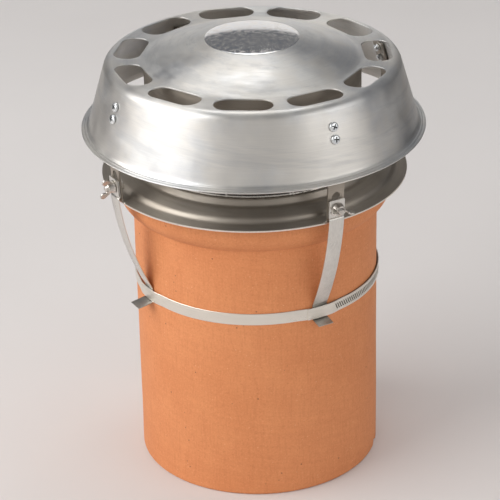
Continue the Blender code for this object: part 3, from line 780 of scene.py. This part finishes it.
def make_bird_guard(material):
    top_radius = DRUM_RADIUS + GAP + WIRE_RADIUS
    foot_radius = top_radius + GUARD_SPREAD
    foot = RING_TOP + GAP + WIRE_RADIUS
    lean = atan2(top_radius - foot_radius, GUARD_TOP - foot)
    length = hypot(top_radius - foot_radius, GUARD_TOP - foot)
    inside = WIRE_RADIUS * 0.6
    half = [(WIRE_RADIUS, length + inside), (inside, length + WIRE_RADIUS), (0.0, length + WIRE_RADIUS)]
    profile = [(0.0, -WIRE_RADIUS), (inside, -WIRE_RADIUS), (WIRE_RADIUS, -inside)] + half
    bm = bmesh.new()
    for radius, height in ((foot_radius, foot), (top_radius, GUARD_TOP)):
        turn(arc(radius, height, WIRE_RADIUS, 0, 324, 9), METAL_STEPS, bm=bm)
    for azimuth in [GUARD_START + 360 * i / GUARD_WIRES for i in range(GUARD_WIRES)] + [LAP_WIRE_AZIMUTH]:
        place = at_azimuth(azimuth, foot_radius, foot)
        copy_into(bm, turn(profile, 12), place @ Matrix.Rotation(lean, 4, "Y"))
    dress(add_object("bird_guard_wire", bm), material, STEEL, "bird_guard")


# The cowl

LIP_LINES = (0.1618, 0.1641)
LIP_LINE_DEPTH = 0.00035
LIP_LINE_WIDTH = 0.0011
DOME_STEPS = 46
DOME_CLEAR = 0.0012
DOME_SWEEP = [(0.0002, 0.00035), (0.0016, 0.00008), (0.0028, 0.0)]
CREASE_DEPTH = 0.00018
CREASE_WIDTH = 0.0005
CREASE_REACH = 0.0006


def dome_height(radius):
    """Rise of the domed centre, with a fine crease round its disc."""
    crease = -CREASE_DEPTH * exp(-((radius - DISC_RADIUS) / CREASE_WIDTH) ** 2)
    return DOME_RISE * (1 - (radius / DOME_FOOT) ** 2) + crease


def press_lines(outer):
    """Fine lines that the spinning tool pressed round the lip."""
    lip_foot = COWL_FOOT + COWL_SHEET / 2
    pressed = []
    for before, after in zip(outer, outer[1:]):
        pressed.append(before)
        steps = int((after[0] - before[0]) / 0.0001)
        if before[1] > lip_foot and before[0] > SKIRT_FOOT_RADIUS and steps > 1:
            pressed += run(before, after, steps)
    lined = []
    for r, z in pressed + outer[-1:]:
        depth = sum(exp(-((r - line) / (LIP_LINE_WIDTH / 2)) ** 2) for line in LIP_LINES)
        lined.append((r, z - LIP_LINE_DEPTH * depth if z > lip_foot else z))
    return lined


def cowl_profile():
    """Section of the spun sheet, down its outside and back up its inside."""
    lean = degrees(SKIRT_LEAN)
    centre_r = SHOULDER_RADIUS - SHOULDER_ROUND * tan(radians(90 - lean) / 2)
    centre_z = COWL_TOP - SHOULDER_ROUND
    dome = [DOME_FOOT * i / DOME_STEPS for i in range(DOME_STEPS)]
    dome = sorted(dome + [DISC_RADIUS + side * CREASE_REACH for side in (-1, 0, 1)])
    top = [(r, COWL_TOP + dome_height(r)) for r in dome if r < DOME_FOOT - DOME_CLEAR]
    # The dome runs into the slotted ring by a small hollow
    top += [(DOME_FOOT + out, COWL_TOP + up) for out, up in DOME_SWEEP]
    shoulder = arc(centre_r, centre_z, SHOULDER_ROUND, 90, lean, 12)
    skirt = run(shoulder[-1], (SKIRT_FOOT_RADIUS, SKIRT_FOOT_Z), 26)
    edge = COWL_SHEET / 2
    edge_radius = SKIRT_FOOT_RADIUS + LIP_FLARE - edge
    lip = bend_path([
        skirt[-1],
        (SKIRT_FOOT_RADIUS + 0.0004, SKIRT_FOOT_Z - 0.0006),
        (SKIRT_FOOT_RADIUS + 0.003, COWL_FOOT + COWL_SHEET + 0.0009),
        (edge_radius, COWL_FOOT + COWL_SHEET),
    ], 0.0025, 5)[1:-1]
    outer = top + shoulder + skirt + lip + arc(edge_radius, COWL_FOOT + edge, edge, 90, -90, 8)
    side = COWL_SHEET / cos(SKIRT_LEAN)
    inner = [(r - COWL_SHEET * 0.5, max(z - COWL_SHEET * 0.85, COWL_FOOT)) for r, z in reversed(lip)]
    inner += [(r - side, z) for r, z in reversed(skirt[:-1])]
    inner += arc(centre_r, centre_z, SHOULDER_ROUND - COWL_SHEET, lean, 90, 8)
    inner += [(r, z - COWL_SHEET) for r, z in reversed(top)]
    return press_lines(outer) + inner


def make_cowl(material, disc_material):
    cowl = add_object("cowl_spun", turn(cowl_profile(), METAL_STEPS))

    outline = round_rectangle(SLOT_WIDTH / 2, -SLOT_LENGTH / 2, SLOT_LENGTH / 2, SLOT_CORNER, 10)
    cutters = bmesh.new()
    for i in range(SLOTS):
        slot = prism(outline, -DOME_RISE, DOME_RISE, spin(90, "X"))
        azimuth = SLOT_START + 360 * i / SLOTS
        copy_into(cutters, slot, at_azimuth(azimuth, SLOT_RADIUS, COWL_TOP))
    combine(cowl, cutters, "DIFFERENCE")
    soften(cowl, 0.0007, 4, 60)
    drill(cowl, [hole for azimuth in CORNERS.values() for hole in screw_holes(azimuth)])
    dress(cowl, material, "spun_aluminium", "cowl")
    paint(cowl, disc_material,
          lambda middle: from_axis(middle) < DISC_RADIUS and middle.z > COWL_TOP + DOME_RISE / 2)


# Screws and nuts

SCREWED_STACK = COWL_SHEET + ARM_SKIRT_GAP + ARM_SHEET + GAP
SCREW_PITCH = 0.0007
CROSS_LENGTH = 0.0054
CROSS_WIDTH = 0.0013
CROSS_DEPTH = 0.0016


def make_screw(name, place, turned, material, recess_shade_material):
    grip = SCREWED_STACK + NUT_HEIGHT + 0.001
    radius, height = SCREW_HEAD_RADIUS, SCREW_HEAD_HEIGHT
    profile = [(0.0, GAP + height)]
    profile += [(radius * share, GAP + height * (1 - 0.32 * share ** 2.4)) for share in (0.3, 0.5, 0.7, 0.85)]
    profile += [(radius * 0.95, GAP + height * 0.62), (radius, GAP + height * 0.42), (radius, GAP),
                (SCREW_RADIUS, GAP)]
    z = -COWL_SHEET
    while z > -grip + 0.0004:
        profile += [(SCREW_RADIUS, z), (SCREW_RADIUS * 0.86, z - SCREW_PITCH / 2)]
        z -= SCREW_PITCH
    profile += [(SCREW_RADIUS * 0.8, -grip), (0.0, -grip)]
    screw = add_object(name, turn(profile, THREAD_SIDES))
    long, thin = CROSS_LENGTH / 2, CROSS_WIDTH / 2
    quarter = [(thin, thin), (thin, long), (-thin, long)]
    outline = []
    for _ in range(4):
        outline += quarter
        quarter = [(-z, x) for x, z in quarter]
    cross = prism(outline, GAP + height - CROSS_DEPTH, GAP + height * 2, spin(90, "X"))
    combine(screw, cross, "DIFFERENCE")
    dress(screw, material, ZINC, name.replace("_turned", ""))
    # The faces inside the cross recess get a near-black zinc: painted shade in the recess.
    paint(screw, recess_shade_material,
          lambda middle: from_axis(middle) < long + 0.0001 and GAP * 1.5 < middle.z < GAP + height * 0.8)
    screw.data.transform(place @ spin(turned, "Z"))


def make_hexagon(radius, low, high, bore):
    """Closed hexagonal ring with its outer corners rounded off at both faces."""
    bm = bmesh.new()
    flat = cos(radians(30))
    cut, face, edge = radius * 0.13, radius * 0.93, radius * 1.01
    rings = []
    for level, limit in ((low, face), (low + cut, edge), (high - cut, edge), (high, face),
                         (high, bore), (low, bore)):
        ring = []
        for i in range(HEXAGON_STEPS):
            angle = tau * i / HEXAGON_STEPS
            turned = (degrees(angle) + 30) % 60 - 30
            reach = min(radius * flat / cos(radians(30 - abs(turned))), limit)
            ring.append(bm.verts.new((reach * cos(angle), reach * sin(angle), level)))
        rings.append(ring)
    join_rings(bm, rings, closed=True)
    return bm


def make_cowl_fixings(corner, azimuth, material, recess_shade_material):
    for level, along in SCREW_ALONG.items():
        place = on_skirt(azimuth, along)
        turned = 25.0 + 137.0 * along / 0.01 + azimuth
        make_screw(f"cowl_screw_{corner}_{level}_turned", place, turned, material, recess_shade_material)
        bm = make_hexagon(NUT_RADIUS, -SCREWED_STACK - NUT_HEIGHT, -SCREWED_STACK, SCREW_HOLE)
        bm.transform(place)
        nut = add_object(f"cowl_nut_{corner}_{level}_hex", bm, 25)
        dress(nut, material, ZINC, f"cowl_nut_{corner}_{level}")


# Clamps

CLAMP_CORNER = 0.0016
SHEET_EASE = 0.0002
BOLT_PITCH = 0.0008
BOLT_END = 0.002
HUB_CHAMFER = 0.0003


def make_clamp(corner, azimuth, steel, zinc):
    low, high = BOLT_LIFT - CLAMP_HEIGHT / 2, BOLT_LIFT + CLAMP_HEIGHT / 2
    bm = bmesh.new()
    rows = []
    for outward in (CLAMP_FACE - CLAMP_SHEET, CLAMP_FACE):
        row = []
        for y, along in round_rectangle(CLAMP_WIDTH / 2, low, high, CLAMP_CORNER, 6):
            r, height = arm_station(along, outward)
            row.append(bm.verts.new(at_azimuth(azimuth) @ Vector((r, y, height))))
        rows.append(row)
    join_rings(bm, rows)
    plate = add_object(f"clamp_plate_{corner}_sheet", bm)
    soften(plate, SHEET_EASE)
    on_axis = on_arm(azimuth, BOLT_LIFT, CLAMP_FACE)
    drill(plate, [(on_axis, BOLT_HOLE)])
    dress(plate, steel, STEEL, f"clamp_plate_{corner}")

    # Bolt: six-sided head inside the arm, threaded end outside the wing nut
    head_top = -ARM_SHEET - GAP - CLAMP_FACE
    head = make_hexagon(BOLT_HEAD_RADIUS, head_top - BOLT_HEAD_HEIGHT, head_top, BOLT_RADIUS * 0.9)
    bolt = add_object(f"clamp_bolt_{corner}_threaded", head, 25)
    end = GAP + HUB_HEIGHT + BOLT_END
    profile = [(0.0, head_top - BOLT_HEAD_HEIGHT), (BOLT_RADIUS, head_top - BOLT_HEAD_HEIGHT)]
    z = head_top
    while z < end - BOLT_PITCH:
        profile += [(BOLT_RADIUS * 0.88, z), (BOLT_RADIUS, z + BOLT_PITCH / 2)]
        z += BOLT_PITCH
    profile += [(BOLT_RADIUS * 0.82, end), (0.0, end)]
    combine(bolt, turn(profile, THREAD_SIDES), "UNION")
    bolt.data.transform(on_axis)
    dress(bolt, zinc, ZINC, f"clamp_bolt_{corner}")


def make_wing_nut(corner, azimuth, material):
    profile = [(BOLT_HOLE, 0.0), (HUB_RADIUS - HUB_CHAMFER, 0.0), (HUB_RADIUS, HUB_CHAMFER)]
    profile += [(HUB_RADIUS, 0.0012), (HUB_RADIUS - 0.0005, 0.0018)]
    profile += [(HUB_TIP_RADIUS + 0.0002, HUB_HEIGHT - 0.0005), (HUB_TIP_RADIUS - 0.0004, HUB_HEIGHT)]
    profile += [(BOLT_HOLE + HUB_CHAMFER, HUB_HEIGHT), (BOLT_HOLE, HUB_HEIGHT - HUB_CHAMFER)]
    nut = add_object(f"wing_nut_{corner}_cast", turn(profile, 48))
    inside = (HUB_TIP_RADIUS + BOLT_RADIUS) / 2 + BOLT_CLEARANCE
    tip_x, tip_z = WING_SPAN / 2 - WING_TIP_RADIUS, WING_HEIGHT - WING_TIP_RADIUS
    outline = [(inside, HUB_HEIGHT * 0.12), (HUB_RADIUS, HUB_HEIGHT * 0.2)]
    outline += [(HUB_RADIUS * 1.3, HUB_HEIGHT * 0.42)] + arc(tip_x, tip_z, WING_TIP_RADIUS, -50, 165, 18)
    outline += [(HUB_RADIUS * 0.98, HUB_HEIGHT * 1.02), (inside, HUB_HEIGHT * 0.86)]
    for side in (-1, 1):
        wing = prism([(side * x, z) for x, z in outline], -WING_SHEET / 2, WING_SHEET / 2)
        blade = add_object("blade", wing)
        soften(blade, 0.0006, 4, 40)
        tool = bmesh.new()
        tool.from_mesh(blade.data)
        bpy.data.objects.remove(blade, do_unlink=True)
        combine(nut, tool, "UNION")
    place = on_arm(azimuth, BOLT_LIFT, CLAMP_FACE + GAP)
    nut.data.transform(place @ spin(WING_TURNS[corner], "Z"))
    dress(nut, material, ZINC, f"wing_nut_{corner}")


# Straps and band

BOW_STEPS = 12
STRAP_CORNER = 0.0012
STRAP_END = 0.0015
CLIMB_START = 1.2
CLIMB = 7.0
BAND_NICK = 0.00022
LOOP_RELIEF = 0.00005
WORM_SLOT_START = 38.5
WORM_SLOT_PITCH = 0.0028
WORM_SLOT_LENGTH = 0.0068
WORM_SLOT_WIDTH = 0.0013
WORM_SLOT_LEAN = 24
WORM_SLOT_REACH = 0.003


def make_strap(corner, azimuth, material, tab_shade_material):
    clamped = GAP + STRAP_SHEET / 2
    clamp_foot = BOLT_LIFT - CLAMP_HEIGHT / 2
    on_pot = POT_RADIUS + GAP + STRAP_SHEET / 2
    landing = (on_pot, BAND_HEIGHT + BAND_WIDTH / 2 + STRAP_LAND)
    bend = BAND_HEIGHT - BAND_WIDTH / 2 - GAP - STRAP_SHEET
    length = TAB_LENGTHS[corner]
    tab = (on_pot + length * cos(TAB_DROOP), bend - length * sin(TAB_DROOP))
    corners = [
        arm_station(BOLT_LIFT + CLAMP_HEIGHT / 2 - STRAP_END, clamped),
        arm_station(clamp_foot - STRAP_SHEET / 2, clamped),
        arm_station(clamp_foot - STRAP_SHEET * 2, clamped + STRAP_JOGGLE),
    ]
    # Sprung stretch between clamp and pot, bowed outward
    joggle = Vector(corners[-1])
    chord = Vector(landing) - joggle
    outward = Vector((-chord.y, chord.x)).normalized()
    for i in range(1, BOW_STEPS):
        share = i / BOW_STEPS
        corners.append(tuple(joggle + chord * share + outward * STRAP_BOW * 4 * share * (1 - share)))
    path = bend_path(corners + [landing, (on_pot, bend), tab], STRAP_CORNER)
    bm = ribbon(path, lambda done: STRAP_WIDTH / 2, STRAP_SHEET, at_azimuth(azimuth))
    strap = add_object(f"strap_{corner}_sheet", bm)
    soften(strap, SHEET_EASE)
    drill(strap, [(on_arm(azimuth, BOLT_LIFT, STRAP_FACE), BOLT_HOLE)])
    dress(strap, material, STEEL, f"strap_{corner}")
    # The tab below the band gets a darker stainless: painted shade and painted dark reflection on it.
    paint(strap, tab_shade_material,
          lambda middle: from_axis(middle) > on_pot + STRAP_SHEET and middle.z < bend + STRAP_SHEET)


def strap_lift(azimuth):
    """Share of the way from the pot to a strap's outer corners that the band has climbed."""
    lift = 0.0
    flat = degrees(STRAP_WIDTH / 2 / POT_RADIUS) + CLIMB_START
    for corner in CORNERS.values():
        away = abs((azimuth - corner + 180) % 360 - 180)
        share = max(0.0, min(1.0, (flat + CLIMB - away) / CLIMB))
        lift = max(lift, share * share * (3 - 2 * share))
    return lift


def band_inner(azimuth):
    over_strap = hypot(POT_RADIUS + GAP + STRAP_SHEET, STRAP_WIDTH / 2) - POT_RADIUS
    return POT_RADIUS + GAP + strap_lift(azimuth) * over_strap


def band_strip(start, end, offset):
    """Band from one azimuth to another, or right round, at a distance outside the innermost layer."""
    right_round = end - start >= 360
    steps = int(BAND_STEPS * (end - start) / 360)
    half, eased = BAND_WIDTH / 2, BAND_WIDTH / 2 - BAND_NICK
    bm = bmesh.new()
    rings = []
    for i in range(steps if right_round else steps + 1):
        azimuth = start + (end - start) * i / steps
        inner = band_inner(azimuth) + offset
        outer = inner + BAND_SHEET - (0.0 if offset else LOOP_RELIEF)
        section = [(inner, -eased), (inner + BAND_NICK, -half), (outer - BAND_NICK, -half), (outer, -eased),
                   (outer, eased), (outer - BAND_NICK, half), (inner + BAND_NICK, half), (inner, eased)]
        side = radians(azimuth)
        rings.append([bm.verts.new((radius * sin(side), -radius * cos(side), BAND_HEIGHT + up))
                      for radius, up in section])
    return join_rings(bm, rings, right_round)


def make_band(material, loop_shade_material):
    loop = dress(add_object("band_loop", band_strip(0, 360, 0.0)), material, STEEL, "band")
    # The loop under the tail is painted near black: painted shade where the tail covers it and its slots show
    # it.
    paint(loop, loop_shade_material,
          lambda middle: TAIL_START + 1 < degrees(atan2(middle.x, -middle.y)) < TAIL_END - 1)

    tail = add_object("band_tail", band_strip(TAIL_START, TAIL_END, BAND_SHEET))
    outline = rectangle(WORM_SLOT_WIDTH / 2, -WORM_SLOT_LENGTH / 2, WORM_SLOT_LENGTH / 2)
    turned = spin(WORM_SLOT_LEAN, "X") @ spin(90, "Z")
    cutters = bmesh.new()
    azimuth = WORM_SLOT_START
    while azimuth < TAIL_END - 4:
        cutter = prism(outline, -WORM_SLOT_REACH, WORM_SLOT_REACH)
        middle = band_inner(azimuth) + BAND_SHEET * 1.5
        copy_into(cutters, cutter, at_azimuth(azimuth, middle, BAND_HEIGHT) @ turned)
        azimuth += degrees(WORM_SLOT_PITCH / (POT_RADIUS + BAND_SHEET))
    combine(tail, cutters, "DIFFERENCE")
    dress(tail, material, STEEL, "band")


WORM_HEAD_RADIUS = 0.0042
WORM_HEAD_LENGTH = 0.0045
WORM_PITCH = 0.0028
WORM_ROOT = 0.72
SLIT_REACH = 0.006


def make_worm(steel, zinc):
    base = band_inner(HOUSING_AZIMUTH) + BAND_SHEET * 2 + GAP
    half_width = HOUSING_WIDTH / 2
    centre = base + HOUSING_HEIGHT - half_width
    place = at_azimuth(HOUSING_AZIMUTH, 0.0, BAND_HEIGHT)
    shells = []
    for side, floor, reach in ((half_width, base, HOUSING_LENGTH / 2),
                               (half_width - HOUSING_WALL, base + HOUSING_WALL, HOUSING_LENGTH)):
        outline = [(floor, -side)] + arc(centre, 0.0, side, -90, 90, 24) + [(floor, side)]
        shells.append(prism(outline, -reach, reach, place))
    housing = add_object("worm_housing_folded", shells[0])
    combine(housing, shells[1], "DIFFERENCE")
    soften(housing, SHEET_EASE)
    dress(housing, steel, STEEL, "worm_housing")

    radius = HOUSING_HEIGHT / 2 - HOUSING_WALL - GAP
    root = radius * WORM_ROOT
    half = HOUSING_LENGTH / 2 - HOUSING_WALL
    head = HOUSING_LENGTH / 2 + GAP
    profile = [(0.0, -half), (radius * 0.8, -half)]
    z = -half + 0.0006
    while z < half - 0.002:
        profile += [(root, z), (radius, z + 0.0008), (radius, z + 0.0014), (root, z + 0.0022)]
        z += WORM_PITCH
    neck = WORM_HEAD_RADIUS * 0.75
    profile += [(root, head), (neck, head), (neck, head + 0.001), (0.0, head + 0.001)]
    screw = add_object("worm_screw_turned", turn(profile, 32))
    combine(screw, make_hexagon(WORM_HEAD_RADIUS, head, head + WORM_HEAD_LENGTH, 0.0001), "UNION")
    slit = prism(rectangle(SLIT_REACH, head + WORM_HEAD_LENGTH * 0.6, head + 0.01), -0.0005, 0.0005)
    combine(screw, slit, "DIFFERENCE")
    axis = at_azimuth(HOUSING_AZIMUTH, base + HOUSING_WALL + GAP + radius, BAND_HEIGHT)
    screw.data.transform(axis @ spin(90, "X"))
    dress(screw, zinc, ZINC, "worm_screw")


# Camera, light and floor

PHOTO_SIZE = 500
CAMERA_PLACE = Vector((0.0, -2.0627, 1.2389))
CAMERA_AIM = Vector((0.0, 0.0, 0.2114))
CAMERA_ROLL = radians(-1.15)
CAMERA_FOCUS = 2311.8  # pixels
CAMERA_SHIFT = 6.2  # pixels
SENSOR = 36.0
LIGHT_AIM = Vector((0.0, 0.0, 0.25))
# Azimuth, elevation, distance, size, power, colour, and whether metal reflects it
LIGHTS = {
    "key": (-73.0, 33.0, 3.2, (3.3, 2.3), 95.0, (1.0, 0.985, 0.965), True),
    "fill": (58.0, 22.0, 2.6, (2.0, 1.6), 14.5, (1.0, 0.985, 0.96), True),
    "overhead": (185.0, 66.0, 2.4, (1.4, 1.0), 11.0, (1.0, 0.985, 0.96), True),
    "wash_right": (125.0, 47.0, 2.3, (1.6, 1.6), 9.0, (1.0, 0.98, 0.97), False),
    "wash_front": (-15.0, 24.0, 2.8, (1.6, 1.2), 11.5, (1.0, 0.99, 0.98), False),
}
FLAGS = {"flag_left": Vector((-0.95, 1.35, 0.35)), "flag_right": Vector((0.95, 1.15, 0.35))}
FLAG_SIZE = (1.7, 0.7)
DARK_SIDES = (0.2, 0.2, 0.205)
PALE_PAPER = (0.95, 0.92, 0.89)
ROOM_IN_FRONT = (0.54, 0.53, 0.515)
FLOOR_REACH = 6.0


def looking(place, aim):
    """Matrix of a camera or light at a place that looks towards an aim."""
    return Matrix.Translation(place) @ (aim - place).to_track_quat("-Z", "Y").to_matrix().to_4x4()


def make_camera():
    data = bpy.data.cameras.new("camera")
    data.sensor_width = SENSOR
    data.lens = CAMERA_FOCUS * SENSOR / PHOTO_SIZE
    data.shift_x = -CAMERA_SHIFT / PHOTO_SIZE
    camera = new_object("camera", data)
    camera.matrix_world = looking(CAMERA_PLACE, CAMERA_AIM) @ Matrix.Rotation(CAMERA_ROLL, 4, "Z")
    bpy.context.scene.camera = camera


def make_light(name, azimuth, elevation, distance, size, power, colour, reflected):
    """Soft light that faces the object."""
    data = bpy.data.lights.new(name, "AREA")
    data.shape = "RECTANGLE"
    data.size, data.size_y = size
    data.energy = power
    data.color = colour
    side, up = radians(azimuth), radians(elevation)
    flat = cos(up) * distance
    away = Vector((flat * sin(side), -flat * cos(side), sin(up) * distance))
    light = new_object(name, data)
    light.matrix_world = looking(LIGHT_AIM + away, LIGHT_AIM)
    light.visible_glossy = reflected


def make_world():
    """Studio surroundings: pale paper behind and the room in front, darker at the sides and overhead."""
    world = bpy.data.worlds.new("studio")
    world.use_nodes = True
    tree = world.node_tree
    around = node(tree, "ShaderNodeTexCoord").outputs["Generated"]
    x, y, z = node(tree, "ShaderNodeSeparateXYZ", {0: around}).outputs
    paper = spread(tree, maths(tree, "ABSOLUTE", x), 0.17, 0.3, 1.0, 0.0)
    paper = times(tree, paper, maths(tree, "GREATER_THAN", y, 0.0))
    paper = times(tree, paper, spread(tree, z, 0.275, 0.3, 1.0, 0.0))
    room = spread(tree, y, -0.6, -0.85, 0.0, 1.0)
    room = times(tree, room, spread(tree, z, 0.35, 0.6, 1.0, 0.0))
    level = blend(tree, paper, DARK_SIDES, PALE_PAPER)
    level = blend(tree, room, level, ROOM_IN_FRONT)
    tree.links.new(level, tree.nodes["Background"].inputs["Color"])
    bpy.context.scene.world = world


def make_flag(name, place):
    """Black cloth on a stand beside the paper, which only the metal's reflections show."""
    bm = bmesh.new()
    bmesh.ops.create_grid(bm, x_segments=1, y_segments=1, size=0.5)
    bm.transform(Matrix.Diagonal((*FLAG_SIZE, 1.0, 1.0)))
    upright = spin(90, "Z") @ spin(90, "X")
    bm.transform(Matrix.Translation(place) @ upright)
    flag = add_object(name, bm)
    material, _, shader = new_material(name, 0.0, 1.0)
    shader.inputs["Base Color"].default_value = (0.1, 0.1, 0.1, 1.0)
    flag.data.materials.append(material)
    flag.visible_camera = flag.visible_diffuse = flag.visible_shadow = False


def make_floor():
    bm = bmesh.new()
    bmesh.ops.create_grid(bm, x_segments=2, y_segments=2, size=FLOOR_REACH)
    floor = add_object("floor", bm)
    material, tree, shader = new_material("paper", 0.0, 0.9)
    faint = noise(tree, object_point(tree), 3.0, 2.0, 0.5)
    base = ramp(tree, faint, [(0.3, (0.71, 0.685, 0.675)), (0.7, (0.735, 0.71, 0.7))])
    plug(tree, shader, base)
    shader.inputs["Specular IOR Level"].default_value = 0.2
    floor.data.materials.append(material)


# Straight tones, as in a product photograph
bpy.context.scene.view_settings.view_transform = "Standard"

make_camera()
make_world()
for name, settings in LIGHTS.items():
    make_light(name, *settings)
for name, place in FLAGS.items():
    make_flag(name, place)
make_floor()

terracotta = make_terracotta()
aluminium = make_brushed(
    "spun_aluminium",
    [(0.64, 0.65, 0.665), (0.84, 0.835, 0.815), (0.74, 0.72, 0.68), (0.78, 0.745, 0.69)],
    (0.38, 0.53), 2200.0, 0.1, 0.5)
disc_metal = make_disc_metal()
# Stainless darkened and warmed towards brown: painted reflection of the terracotta and the dark surroundings,
# over the steel's own grey.
plate_metal = make_brushed(
    "stainless_spun",
    [(0.42, 0.38, 0.33), (0.49, 0.445, 0.39), (0.35, 0.315, 0.275), (0.45, 0.4, 0.34)],
    (0.46, 0.54), 2000.0, 0.06, 0.4)
# Pale stainless for the plate's rim hem: painted highlight.
rim_highlight_metal = make_sheet_steel("stainless_rim_painted_highlight", (0.86, 0.8, 0.72), (0.92, 0.87, 0.8), (0.3, 0.4))
# Darker stainless for the straps' tabs: painted shade and painted dark reflection.
tab_shade_metal = make_sheet_steel("stainless_tab_painted_shade", (0.42, 0.4, 0.37), (0.54, 0.52, 0.48), (0.36, 0.46))
strap_metal = make_sheet_steel("stainless_strip", (0.72, 0.7, 0.66), (0.8, 0.78, 0.74), (0.28, 0.38))
band_metal = make_brushed(
    "stainless_band",
    [(0.8, 0.76, 0.69), (0.88, 0.84, 0.77), (0.72, 0.68, 0.62), (0.85, 0.8, 0.72)],
    (0.3, 0.4), 2000.0, 0.06, 0.3)
wire_metal = make_sheet_steel("stainless_wire", (0.55, 0.52, 0.48), (0.68, 0.65, 0.61), (0.2, 0.32), 600.0)
# Near-black stainless for the band's loop under its tail: painted shade.
loop_shade_metal = make_sheet_steel("stainless_loop_painted_shade", (0.16, 0.14, 0.12), (0.22, 0.2, 0.17), (0.5, 0.6))
zinc = make_zinc("zinc_plated", (0.76, 0.8, 0.84), (0.86, 0.88, 0.88), (0.24, 0.38))
dull_zinc = make_zinc("zinc_dulled", (0.56, 0.53, 0.49), (0.7, 0.66, 0.61), (0.26, 0.42))
# Near-black zinc for the inside of the screws' cross recesses: painted shade.
recess_shade_zinc = make_zinc("zinc_recess_painted_shade", (0.08, 0.08, 0.085), (0.12, 0.12, 0.12), (0.5, 0.6))

make_pot(terracotta)
make_base_plate(plate_metal, rim_highlight_metal)
make_drum(plate_metal)
make_bird_guard(wire_metal)
make_cowl(aluminium, disc_metal)
for corner, azimuth in CORNERS.items():
    make_cowl_fixings(corner, azimuth, zinc, recess_shade_zinc)
    make_clamp(corner, azimuth, strap_metal, dull_zinc)
    make_wing_nut(corner, azimuth, dull_zinc)
    make_strap(corner, azimuth, strap_metal, tab_shade_metal)
make_band(band_metal, loop_shade_metal)
make_worm(strap_metal, zinc)
